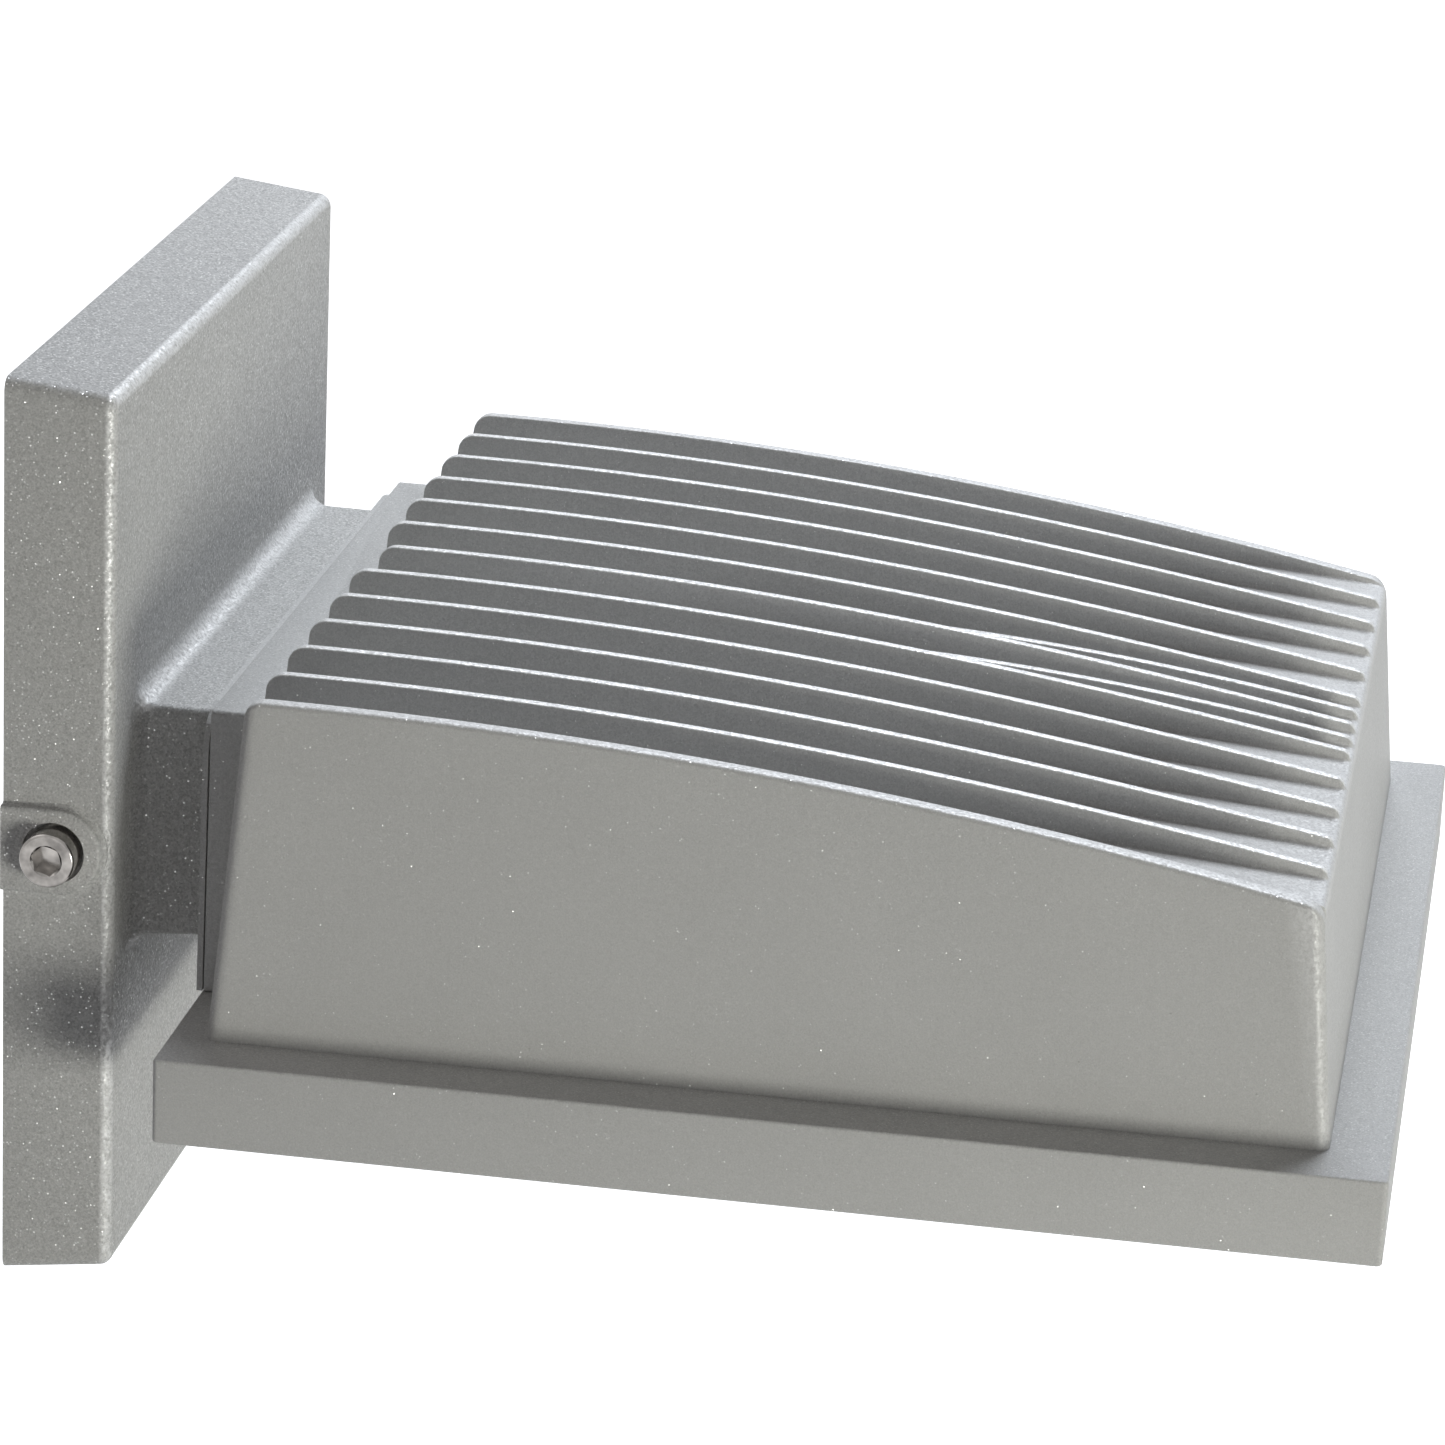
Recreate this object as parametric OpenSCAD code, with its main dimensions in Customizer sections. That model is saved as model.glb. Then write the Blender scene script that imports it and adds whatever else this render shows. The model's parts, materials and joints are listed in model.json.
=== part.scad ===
// Wall pack light: a finned head bolted to a square wall box, with a flat lens facing down.
// Frame: wall plane at Y = 0, the light reaches towards -Y, Z is up, X = 0 is the plane of symmetry.
// The origin is the centre of the wall box, on the wall plane. Sizes are in millimetres.

/* [Wall box] */
// Width of the wall box at the wall
box_w = 160; // [140:1:200]
// Height of the wall box at the wall
box_h = 160; // [140:1:200]
// Depth of the wall box from the wall to its front face
box_d = 18.9; // [17:0.1:24]
// How far the top and bottom of the box draw in towards the front
box_draft_z = 2.15; // [0.5:0.05:2.5]
// How far the sides of the box draw in towards the front
box_draft_x = 0.6; // [0.2:0.05:1.2]
// Radius of the box corners, seen from the front
box_corner_r = 2.4; // [2.1:0.1:5]
// Rounding of the front edge of the box
box_edge_r = 2; // [0.5:0.1:2]
// Thickness of the rim of the box at the wall
box_rim_t = 4.7; // [4.2:0.1:7]
// Thickness of the front wall of the box
box_front_t = 3.2; // [2.5:0.1:4.5]

/* [Side bosses and screws] */
// How far each side boss stands out of the side of the box
boss_stand = 2; // [1.5:0.1:4]
// Radius of the round end of the side boss
boss_r = 7.6; // [7:0.1:9]
// Distance of the side screws from the wall
side_screw_y = 9.2; // [8.8:0.1:9.6]
// Height of the side screws relative to the centre of the box
side_screw_z = -1.6; // [-10:0.1:10]
// Diameter of the side screw shank
side_screw_d = 6.35; // [5:0.05:6.4]
// Diameter of the side screw head
side_head_d = 9.53; // [8.5:0.01:10]
// Height of the side screw head
side_head_h = 6.35; // [5:0.05:7]
// Width across the flats of the hex socket
side_socket_af = 4.76; // [4:0.01:5.5]
// Length of the side screw shank
side_screw_l = 16; // [14:1:20]
// Depth of the counterbore in the side boss
boss_cbore_depth = 2; // [1:0.1:2.5]

/* [Neck] */
// Distance from the wall to the front end of the neck
neck_end = 32.9; // [30:0.1:45]
// Half width of the neck along its top
neck_half_top = 64.9; // [62:0.1:70]
// Half width of the neck along its bottom
neck_half_bottom = 69.6; // [66:0.1:72]
// Height of the top of the neck at the box
neck_top = 20.5; // [18:0.1:22]
// Height of the bottom of the neck at the box
neck_bottom = -19.8; // [-22:0.1:-18]
// Draft of the neck top over its length
neck_draft_top = 0.2; // [0:0.1:1]
// Draft of the neck bottom over its length
neck_draft_bottom = 1; // [0:0.1:1.5]
// Fillet where the neck meets the box
neck_fillet_r = 4; // [1:0.1:6]
// Rounding along the long edges of the neck
neck_edge_r = 1.5; // [0.5:0.1:3]
// Wall thickness of the neck
neck_wall = 4; // [3:0.1:5]
// Thickness of the end wall of the neck
neck_end_t = 4; // [3:0.1:6]

/* [Neck joint] */
// Thickness of the painted plate between the neck and the head
plate_t = 1; // [0.8:0.1:2]
// Radius of the upper corners of that plate
plate_corner_r = 8; // [2:0.5:12]
// Step in from the rear block to the edge of that plate
plate_inset = 0.8; // [0.4:0.1:1.5]
// Thickness of the gasket between the plate and the head
gasket_t = 0.4; // [0.3:0.1:1]
// Step in from the edge of the plate to the edge of the gasket
gasket_inset = 1.2; // [0.8:0.1:3]
// Diameter of the neck bolts
neck_bolt_d = 6; // [5:0.5:6]
// Length of the neck bolts
neck_bolt_l = 16; // [14:1:17]
// Distance of the neck bolts from the plane of symmetry
neck_bolt_x = 45; // [30:1:50]
// Distance of the neck bolts above and below the axis
neck_bolt_z = 9; // [8:0.5:9]
// Bore of the wire way from the neck to the head
wire_way_d = 14; // [12:0.5:14]

/* [Head] */
// Height of the base of the head, where it meets the frame
head_base = -26.15; // [-28:0.05:-24]
// Half width of the head at its base
head_half = 98.4; // [96:0.1:102]
// Distance from the wall to the rear of the head at its base
head_rear = 40; // [38:0.1:42]
// Distance from the wall to the front of the head at its base
head_front = 227.6; // [222:0.1:230]
// Lean of the rear of the head, in degrees
rear_lean = 5; // [2:0.5:6]
// Lean of the front of the head, in degrees
front_lean = 5.5; // [3:0.5:7]
// Lean of the sides of the head, in degrees
side_lean = 2.5; // [0.5:0.1:3]
// Rounding of the upright corners of the head
head_corner_r = 2; // [1:0.1:2.2]
// Rounding of the top front edge of the head
head_front_r = 3; // [1:0.1:3]
// Wall thickness of the head
head_wall = 3.4; // [3:0.1:3.6]
// Thickness of the metal under the channels
head_roof_t = 4.5; // [3.5:0.1:5]
// Half width of the rear block along its top
block_half_top = 74.1; // [72:0.1:76]
// Half width of the rear block along its bottom
block_half_bottom = 76.7; // [76.7:0.1:79]

/* [Fins] */
// Distance between fins
fin_pitch = 15.7; // [15.2:0.1:16.4]
// Thickness of a fin at its top
fin_t = 2; // [1.6:0.1:2.6]
// Thickness of the two outer walls at their top
outer_fin_t = 3.1; // [2.6:0.1:3.4]
// Draft on each side of a fin
fin_draft = 0.25; // [0.1:0.05:0.4]
// Fillet at the root of the fins
fin_root_r = 1.2; // [0.4:0.1:2]
// Height of the fin tops at the rear
fin_peak = 32.9; // [31:0.1:36]
// Radius of the arch that the fin tops follow
fin_arch_r = 880; // [870:5:1200]
// Rounding of the rear top corner of each fin
fin_rear_r = 1.8; // [0.5:0.1:2.5]
// How much further forward the middle fin starts
mid_fin_setback = 1.8; // [0:0.1:4]
// Height of the channel floors at the rear
floor_rear = 23.6; // [22:0.1:24]
// Height of the channel floors at the front
floor_front = 13.8; // [13:0.1:15]
// How fast the two short fins sink away from the front
short_fin_sink = 0.00045; // [0.0004:0.00005:0.002]

/* [Lens frame] */
// Half width of the lens frame
frame_half = 109.1; // [107:0.1:112]
// Distance from the wall to the rear edge of the frame
frame_rear = 33.8; // [30:0.1:35]
// Distance from the wall to the front edge of the frame
frame_front = 237.8; // [234:0.1:242]
// Thickness of the frame
frame_t = 14.85; // [14.5:0.05:18]
// Radius of the frame corners
frame_corner_r = 0.9; // [0.8:0.1:4]
// Bevel along the edges of the frame
frame_bevel = 0.5; // [0.2:0.1:0.7]
// Width of the lens opening
window_w = 160; // [140:1:160]
// Length of the lens opening
window_l = 136; // [120:1:136]
// Distance from the wall to the centre of the lens
window_y = 146; // [145:0.5:147]
// Width of the ledge that carries the lens
ledge_w = 5; // [4:0.1:5.2]
// Thickness of the ledge that carries the lens
ledge_t = 3.5; // [2.5:0.1:4]
// Thickness of the lens
lens_t = 4; // [3:0.1:5]
// Thickness of the lens gasket
lens_gasket_t = 1; // [0.8:0.1:1.5]
// Clearance round the lens
lens_clear = 0.5; // [0.3:0.1:0.6]

/* [Frame screws] */
// Diameter of the frame screws
frame_screw_d = 5; // [4:0.1:5]
// Distance from the side of the lens to the axis of the frame screws
frame_screw_gap = 6; // [5.5:0.1:6]
// Distance from the wall to the rear frame screws
frame_screw_rear = 52; // [50:1:54]
// Distance from the wall to the front frame screws
frame_screw_front = 218; // [216:1:219]

/* [Light engine] */
// Width of the board
board_w = 110; // [100:1:116]
// Length of the board
board_l = 76; // [70:1:80]
// Thickness of the board
board_t = 1.6; // [1:0.1:2]
// Emitters across the board
led_nx = 6; // [4:1:7]
// Emitters along the board
led_ny = 4; // [3:1:5]
// Distance between emitters
led_pitch = 15; // [13:0.5:16]
// Height of the machined pad that carries the board
pad_z = 6; // [5:0.1:7]
// Thickness of the reflector sheet
reflector_t = 1; // [0.8:0.1:1.2]

/* [Driver] */
// Width of the driver case
driver_w = 118; // [100:1:120]
// Length of the driver case along the head
driver_l = 27; // [24:0.5:28]
// Height of the driver case
driver_h = 32; // [28:0.5:34]

/* [Wall bracket] */
// Thickness of the bracket sheet
bracket_t = 2; // [1.6:0.1:2.4]
// Half width of the bracket plate between the ears
bracket_half_x = 68; // [64:1:70]
// Half height of the bracket plate
bracket_half_z = 50; // [48:1:56]
// Hole spacing that fits a junction box
box_hole_spacing = 83.3; // [80:0.1:92]
// Half spacing of the surface fixing holes, across
surface_hole_x = 55; // [50:1:58]
// Half spacing of the surface fixing holes, up and down
surface_hole_z = 40; // [36:1:42]
// Diameter of the surface fixing holes
surface_hole_d = 6.5; // [5:0.1:7]
// Bore of the bushing for the supply cable
cable_bore_d = 17; // [14:0.5:18]

/* [Hidden] */

paint = [0.70, 0.71, 0.70];
steel = [0.80, 0.81, 0.82];
rubber = [0.10, 0.10, 0.11];

// Facets of round holes and pins
fn = 48;
// Radial clearance of a screw in its thread and of a bolt in its hole
thread_gap = 0.05;
bolt_gap = 0.25;
// Overshoot of a cut past the face that it opens
cut = 1;
// Segments of a quarter circle in an outline
arc_n = 4;

// Faces of the side bosses
boss_x = box_w / 2 + boss_stand;
// Depth of the cavity of the wall box
cavity_d = box_d - box_front_t;
cavity_half_x = box_w / 2 - box_rim_t;
cavity_half_z = box_h / 2 - box_rim_t - box_draft_z / 2;

// Stack of the joint between neck and head
plate_front = neck_end + plate_t;
block_rear = plate_front + gasket_t;
block_depth = 13;
block_front = block_rear + block_depth;

head_top_front = head_front - (floor_front - head_base) * tan(front_lean);

frame_bottom = head_base - frame_t;
ledge_top = frame_bottom + ledge_t;
lens_bottom = ledge_top + lens_gasket_t;
lens_top = lens_bottom + lens_t;
lens_half_x = window_w / 2 + ledge_w;
lens_half_y = window_l / 2 + ledge_w;
frame_screw_x = lens_half_x + frame_screw_gap;

// Rounds how far a shape draws in, at distance d from an edge that is rounded by radius r
function edge_drop(d, r) = d >= r ? 0 : r - sqrt(r * r - (r - d) * (r - d));

// Outline of a rectangle with round corners, counter-clockwise: half widths at low and high side
function round_outline(low_half, high_half, low, high, r, n = arc_n) = [
    for (c = [0 : 3]) for (k = [0 : n])
        let (a = 90 * (c - 1 + k / n),
             side = c < 2 ? 1 : -1,
             up = c == 1 || c == 2)
        [side * ((up ? high_half : low_half) - r) + r * cos(a), (up ? high - r : low + r) + r * sin(a)]
];

function rect_outline(half_x, half_y, r, n = arc_n) = round_outline(half_x, half_x, -half_y, half_y, r, n);

// Stands an outline upright at distance y from the wall
function upright(outline, y) = [for (p = outline) [p[0], -y, p[1]]];

// Lays an outline flat at height z
function flat(outline, z) = [for (p = outline) [p[0], p[1], z]];

// Solid skinned through rings of equal point count
module loft(rings) {
    n = len(rings[0]);
    last = (len(rings) - 1) * n;
    polyhedron(
        points = [for (r = rings) for (p = r) p],
        faces = concat(
            [[for (i = [0 : n - 1]) i]],
            [[for (i = [n - 1 : -1 : 0]) last + i]],
            [for (j = [0 : len(rings) - 2]) for (i = [0 : n - 1]) each side_faces(j, i, n)]
        ),
        convexity = 12
    );
}

function side_faces(j, i, n) =
    let (a = j * n + i, b = j * n + (i + 1) % n)
    [[a, a + n, b + n], [a, b + n, b]];

// Plate with an outline in the wall's plane, from distance y0 to y1
module wall_plate(y0, y1) {
    translate([0, -y0, 0])
        rotate([90, 0, 0])
            linear_extrude(y1 - y0)
                children();
}

// Cylinder that points away from the wall, from distance y0 to y1
module y_rod(x, z, d, y0, y1) {
    translate([x, -y0, z])
        rotate([90, 0, 0])
            cylinder(d = d, h = y1 - y0, $fn = fn);
}

// Cylinder along X from x0 to x1
module x_rod(y, z, d, x0, x1) {
    translate([x0, y, z])
        rotate([0, 90, 0])
            cylinder(d = d, h = x1 - x0, $fn = fn);
}

// Cylinder that points up, from z0 to z1
module z_rod(x, y, d, z0, z1) {
    translate([x, y, z0])
        cylinder(d = d, h = z1 - z0, $fn = fn);
}

// Solid with a side outline of [y, z] points, reaching half to each side
module side_profile(points, half) {
    translate([-half, 0, 0])
        rotate([90, 0, 90])
            linear_extrude(2 * half)
                polygon(points);
}

// Copies to both sides
module both_sides() {
    children();
    mirror([1, 0, 0])
        children();
}

module hex_socket(af, depth) {
    cylinder(d = af / cos(30), h = depth, $fn = 6);
}

// Bevel on the rim of a cap head
head_bevel = 0.4;

// Socket cap screw with its head on +Z and the seat of the head at z = 0
module cap_screw(d, l, head_d, head_h, af) {
    difference() {
        union() {
            translate([0, 0, -l])
                cylinder(d = d, h = l, $fn = fn);
            cylinder(d = head_d, h = head_h - head_bevel, $fn = fn);
            translate([0, 0, head_h - head_bevel])
                cylinder(d1 = head_d, d2 = head_d - 2 * head_bevel, h = head_bevel, $fn = fn);
        }
        translate([0, 0, head_h / 2])
            hex_socket(af, head_h);
    }
}

// Pan-head screw with its head on +Z, the seat of the head at z = 0 and a cross slot
module pan_screw(d, l) {
    head_d = 1.9 * d;
    head_h = 0.65 * d;
    slot_w = 0.22 * d;
    difference() {
        union() {
            translate([0, 0, -l])
                cylinder(d = d, h = l, $fn = fn);
            cylinder(d1 = head_d, d2 = 0.8 * head_d, h = head_h, $fn = fn);
        }
        for (a = [0, 90])
            rotate([0, 0, a])
                translate([-0.3 * head_d, -slot_w / 2, 0.5 * head_h])
                    cube([0.6 * head_d, slot_w, head_h]);
    }
}

// Wall box, neck and side bosses, one casting

module box_shell() {
    edge_steps = [0, 0.3, 0.62, 1];
    loft([
        for (t = concat([0], [for (e = edge_steps) box_d - box_edge_r * (1 - e)]))
            let (f = t / box_d,
                 drop = edge_drop(box_d - t, box_edge_r),
                 half_x = box_w / 2 - box_draft_x * f - drop,
                 half_z = box_h / 2 - box_draft_z * f - drop)
            upright(rect_outline(half_x, half_z, max(box_corner_r - drop, 0.2)), t)
    ]);
}

module neck_shell() {
    root_steps = [0, 0.12, 0.3, 0.55, 1];
    overlap = 1.5;
    stations = concat([-overlap], [for (s = root_steps) s * neck_fillet_r], [neck_end - box_d]);
    loft([
        for (t = stations)
            let (f = max(t, 0) / (neck_end - box_d),
                 grow = edge_drop(max(t, 0), neck_fillet_r))
            upright(round_outline(
                neck_half_bottom + grow, neck_half_top + grow,
                neck_bottom + neck_draft_bottom * f - grow, neck_top - neck_draft_top * f + grow,
                neck_edge_r + grow), box_d + t)
    ]);
}

module neck_hollow() {
    wall_plate(cavity_d - cut, neck_end - neck_end_t)
        polygon(round_outline(
            neck_half_bottom - neck_wall, neck_half_top - neck_wall,
            neck_bottom + neck_draft_bottom + neck_wall, neck_top - neck_draft_top - neck_wall,
            neck_edge_r));
}

// The round end of the boss sits this much further out than the screw
boss_axis_step = 0.6;
// Radial clearances of the side screw in its hole and of its head in the counterbore
side_hole_gap = 0.4;
boss_cbore_gap = 0.65;

// Boss for the side screw, running back to the wall
module side_boss() {
    x_rod(-side_screw_y - boss_axis_step, side_screw_z, 2 * boss_r, cavity_half_x, boss_x);
    translate([cavity_half_x, -side_screw_y - boss_axis_step, side_screw_z - boss_r])
        cube([boss_x - cavity_half_x, side_screw_y + boss_axis_step, 2 * boss_r]);
}

module side_screw_holes() {
    seat = boss_x - boss_cbore_depth;
    x_rod(-side_screw_y, side_screw_z, side_screw_d + 2 * side_hole_gap, cavity_half_x - cut, boss_x + cut);
    x_rod(-side_screw_y, side_screw_z, side_head_d + 2 * boss_cbore_gap, seat, boss_x + cut);
}

// Gasket in a groove round the back of the wall box
gasket_w = 2.4;
gasket_depth = 1.8;
gasket_edge = 1.2;

module wall_gasket_ring(w) {
    outer_x = box_w / 2 - gasket_edge - (gasket_w - w) / 2;
    outer_z = box_h / 2 - gasket_edge - (gasket_w - w) / 2;
    wall_plate(0, gasket_depth)
        difference() {
            polygon(rect_outline(outer_x, outer_z, box_corner_r));
            polygon(rect_outline(outer_x - w, outer_z - w, box_corner_r));
        }
}

// Seal in a groove in the end of the neck, which runs round the neck bolts
seal_w = 2.4;
seal_depth = 1.8;
seal_beside_bolts = 12;
seal_above_bolts = 6.5;
seal_half_x = neck_bolt_x + seal_beside_bolts;
seal_half_z = neck_bolt_z + seal_above_bolts;
seal_corner_r = 4;

module neck_seal_ring(w) {
    wall_plate(neck_end - seal_depth, neck_end)
        difference() {
            polygon(rect_outline(seal_half_x, seal_half_z, seal_corner_r));
            polygon(rect_outline(seal_half_x - w, seal_half_z - w, seal_corner_r - w / 2));
        }
}

module neck_bolt_places() {
    for (sx = [-1, 1])
        for (sz = [-1, 1])
            translate([sx * neck_bolt_x, 0, sz * neck_bolt_z])
                children();
}

grommet_hole_d = wire_way_d + 2;

module wall_box() {
    color(paint)
        difference() {
            union() {
                box_shell();
                neck_shell();
                both_sides()
                    side_boss();
            }
            wall_plate(-cut, cavity_d)
                polygon(rect_outline(cavity_half_x, cavity_half_z, 2 * box_corner_r));
            neck_hollow();
            both_sides()
                side_screw_holes();
            neck_bolt_places()
                y_rod(0, 0, neck_bolt_d + 2 * bolt_gap, neck_end - neck_end_t - cut, neck_end + cut);
            y_rod(0, 0, grommet_hole_d, neck_end - neck_end_t - cut, neck_end + cut);
            wall_gasket_ring(gasket_w);
            neck_seal_ring(seal_w);
        }
}

module wall_gasket() {
    color(rubber)
        wall_gasket_ring(gasket_w);
}

module neck_seal() {
    color(rubber)
        neck_seal_ring(seal_w);
}

module side_screws() {
    color(steel)
        both_sides()
            translate([boss_x - boss_cbore_depth, -side_screw_y, side_screw_z])
                rotate([0, 90, 0])
                    cap_screw(side_screw_d, side_screw_l, side_head_d, side_head_h, side_socket_af);
}

// Bracket on the wall, with an ear for each side screw

ear_gap = 0.1;
ear_half = 12;
ear_outer = cavity_half_x - ear_gap;
ear_reach = cavity_d - 1;
bracket_corner_r = 6;
box_hole_d = 4.8;
bushing_hole_d = cable_bore_d + 5;
ground_screw_x = -34;
ground_screw_z = -24;
ground_screw_d = 4;

module bracket_ear() {
    translate([ear_outer - bracket_t, -ear_reach + ear_half / 2, side_screw_z - ear_half])
        cube([bracket_t, ear_reach - ear_half / 2, 2 * ear_half]);
    translate([ear_outer - bracket_t, -ear_reach, side_screw_z - ear_half / 2])
        cube([bracket_t, ear_half / 2, ear_half]);
    for (s = [-1, 1])
        x_rod(-ear_reach + ear_half / 2, side_screw_z + s * ear_half / 2, ear_half,
            ear_outer - bracket_t, ear_outer);
}

module wall_bracket() {
    color(steel)
        difference() {
            union() {
                wall_plate(0, bracket_t)
                    polygon(rect_outline(bracket_half_x, bracket_half_z, bracket_corner_r));
                translate([-ear_outer, -bracket_t, side_screw_z - ear_half])
                    cube([2 * ear_outer, bracket_t, 2 * ear_half]);
                both_sides()
                    bracket_ear();
            }
            both_sides()
                x_rod(-side_screw_y, side_screw_z, side_screw_d + 2 * bolt_gap,
                    ear_outer - bracket_t - cut, ear_outer + cut);
            y_rod(0, 0, bushing_hole_d, -cut, bracket_t + cut);
            for (s = [-1, 1])
                y_rod(0, s * box_hole_spacing / 2, box_hole_d, -cut, bracket_t + cut);
            for (sx = [-1, 1])
                for (sz = [-1, 1])
                    y_rod(sx * surface_hole_x, sz * surface_hole_z, surface_hole_d, -cut, bracket_t + cut);
            y_rod(ground_screw_x, ground_screw_z, ground_screw_d + 2 * thread_gap, -cut, bracket_t + cut);
        }
}

nut_af = 11;
nut_h = 5;

module ear_nuts() {
    color(steel)
        both_sides()
            translate([ear_outer - bracket_t - nut_h, -side_screw_y, side_screw_z])
                rotate([0, 90, 0])
                    difference() {
                        cylinder(d = nut_af / cos(30), h = nut_h, $fn = 6);
                        translate([0, 0, -cut])
                            cylinder(d = side_screw_d + 2 * thread_gap, h = nut_h + 2 * cut, $fn = fn);
                    }
}

bushing_lip = 2.5;
bushing_lip_t = 1.2;

module wire_bushing() {
    color(rubber)
        difference() {
            union() {
                y_rod(0, 0, bushing_hole_d - 2 * thread_gap, 0, bracket_t);
                y_rod(0, 0, bushing_hole_d + 2 * bushing_lip, bracket_t, bracket_t + bushing_lip_t);
            }
            y_rod(0, 0, cable_bore_d, -cut, bracket_t + bushing_lip_t + cut);
        }
}

module ground_screw() {
    color([0.15, 0.5, 0.2])
        translate([ground_screw_x, -bracket_t, ground_screw_z])
            rotate([90, 0, 0])
                pan_screw(ground_screw_d, bracket_t);
}

// Terminal block on the bracket, above the cable bushing

terminal_poles = 3;
terminal_pitch = 11;
terminal_h = 15;
terminal_d = 12;
terminal_gap = 2;
terminal_z = bushing_hole_d / 2 + bushing_lip + terminal_gap + terminal_h / 2;
// Height of the ribs between the poles over the body of the block
rib_h = 2;
rib_w = 1.4;
terminal_screw_d = 3;
terminal_screw_l = 4;
lead_d = 2.4;
lead_hole_depth = 5;
lead_y = bracket_t + terminal_d / 2;

function pole_x(i) = (i - (terminal_poles - 1) / 2) * terminal_pitch;

module terminal_block() {
    half = terminal_poles * terminal_pitch / 2;
    color([0.92, 0.92, 0.88])
        difference() {
            union() {
                translate([-half, -bracket_t - terminal_d + rib_h, terminal_z - terminal_h / 2])
                    cube([2 * half, terminal_d - rib_h, terminal_h]);
                for (i = [0 : terminal_poles])
                    translate([-half + i * (2 * half - rib_w) / terminal_poles,
                            -bracket_t - terminal_d, terminal_z - terminal_h / 2])
                        cube([rib_w, terminal_d, terminal_h]);
            }
            for (i = [0 : terminal_poles - 1]) {
                for (s = [-1, 1])
                    y_rod(pole_x(i), terminal_z + s * terminal_h / 4, terminal_screw_d + 2 * thread_gap,
                        bracket_t + terminal_d - rib_h - terminal_screw_l, bracket_t + terminal_d + cut);
                z_rod(pole_x(i), -lead_y, lead_d + 2 * thread_gap,
                    terminal_z - terminal_h / 2 - cut, terminal_z - terminal_h / 2 + lead_hole_depth);
            }
        }
}

module terminal_screws() {
    color([0.78, 0.68, 0.4])
        for (i = [0 : terminal_poles - 1])
            for (s = [-1, 1])
                translate([pole_x(i), -bracket_t - terminal_d + rib_h, terminal_z + s * terminal_h / 4])
                    rotate([90, 0, 0])
                        pan_screw(terminal_screw_d, terminal_screw_l);
}

// Fasteners and seals of the neck joint

washer_t = 1.2;
washer_d = 11;
neck_head_d = 10;
neck_head_h = 6;
neck_socket_af = 5;

module neck_washers() {
    color(steel)
        neck_bolt_places()
            difference() {
                y_rod(0, 0, washer_d, neck_end - neck_end_t - washer_t, neck_end - neck_end_t);
                y_rod(0, 0, neck_bolt_d + 2 * bolt_gap, neck_end - neck_end_t - washer_t - cut,
                    neck_end - neck_end_t + cut);
            }
}

module neck_bolts() {
    color(steel)
        neck_bolt_places()
            translate([0, -(neck_end - neck_end_t - washer_t), 0])
                rotate([-90, 0, 0])
                    cap_screw(neck_bolt_d, neck_bolt_l, neck_head_d, neck_head_h, neck_socket_af);
}

grommet_lip = 2;
grommet_lip_t = 1.2;
grommet_wall = 2;
grommet_bore_d = wire_way_d - 2 * grommet_wall;

module wire_grommet() {
    inner = neck_end - neck_end_t;
    color(rubber)
        difference() {
            union() {
                y_rod(0, 0, grommet_hole_d - 2 * thread_gap, inner, neck_end);
                y_rod(0, 0, grommet_hole_d + 2 * grommet_lip, inner - grommet_lip_t, inner);
            }
            y_rod(0, 0, grommet_bore_d, inner - grommet_lip_t - cut, neck_end + cut);
        }
}

// Step out from the rear block to the plate's upper corners
plate_top_out = 0.6;
gasket_base_gap = 1;

// Outline shared by the plate and the gasket, drawn in from the rear block
module joint_outline(inset, r) {
    polygon(round_outline(block_half_bottom - inset, block_half_top + plate_top_out - inset,
        head_base - r, floor_rear - inset, r));
}

module joint_sheet(y0, y1, inset, low_r) {
    difference() {
        wall_plate(y0, y1)
            difference() {
                joint_outline(inset, plate_corner_r);
                polygon([for (p = [[-1, -1], [1, -1], [1, 1], [-1, 1]])
                    [p[0] * box_w, head_base + low_r + (p[1] > 0 ? 0 : -box_h)]]);
            }
        neck_bolt_places()
            y_rod(0, 0, neck_bolt_d + 2 * bolt_gap, y0 - cut, y1 + cut);
        y_rod(0, 0, wire_way_d, y0 - cut, y1 + cut);
    }
}

module mounting_plate() {
    color(paint)
        joint_sheet(neck_end, plate_front, plate_inset, 0);
}

module head_gasket() {
    color(rubber)
        joint_sheet(plate_front, block_rear, plate_inset + gasket_inset, gasket_base_gap);
}

// Leads swept along smooth routes

function bezier(p, t) =
    let (u = 1 - t)
    u * u * u * p[0] + 3 * u * u * t * p[1] + 3 * u * t * t * p[2] + t * t * t * p[3];

function bezier_slope(p, t) =
    let (u = 1 - t)
    3 * u * u * (p[1] - p[0]) + 6 * u * t * (p[2] - p[1]) + 3 * t * t * (p[3] - p[2]);

function unit(v) = v / norm(v);

// Rings of a lead of diameter d along a curve, kept square to it with X as the side axis
function lead_rings(p, d, n, sides = 8) = [
    for (k = [0 : n])
        let (c = bezier(p, k / n),
             t = unit(bezier_slope(p, k / n)),
             u = unit(cross([1, 0, 0], t)),
             v = cross(t, u))
        [for (i = [0 : sides - 1]) c + d / 2 * (cos(-360 * i / sides) * u + sin(-360 * i / sides) * v)]
];

lead_rings_n = 10;
// Places of the supply leads: side by side at the wire way, straight for a stretch below
// the terminal block, then turning towards the neck
lead_spread = 3;
lead_straight = 26;
lead_turn = 24;
// The driver stands clear of the rear block
driver_gap = 3;
driver_rear = block_front + driver_gap;

module supply_leads() {
    start_z = terminal_z - terminal_h / 2 + lead_hole_depth;
    for (i = [0 : terminal_poles - 1])
        color([[0.1, 0.1, 0.1], [0.15, 0.55, 0.25], [0.92, 0.92, 0.92]][i % 3])
            loft(lead_rings([
                [pole_x(i), -lead_y, start_z],
                [pole_x(i), -lead_y, start_z - lead_straight],
                [lead_spread * (i - (terminal_poles - 1) / 2), -(neck_end - lead_turn), 0],
                [lead_spread * (i - (terminal_poles - 1) / 2), -driver_rear, 0]], lead_d, lead_rings_n));
}

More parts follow.
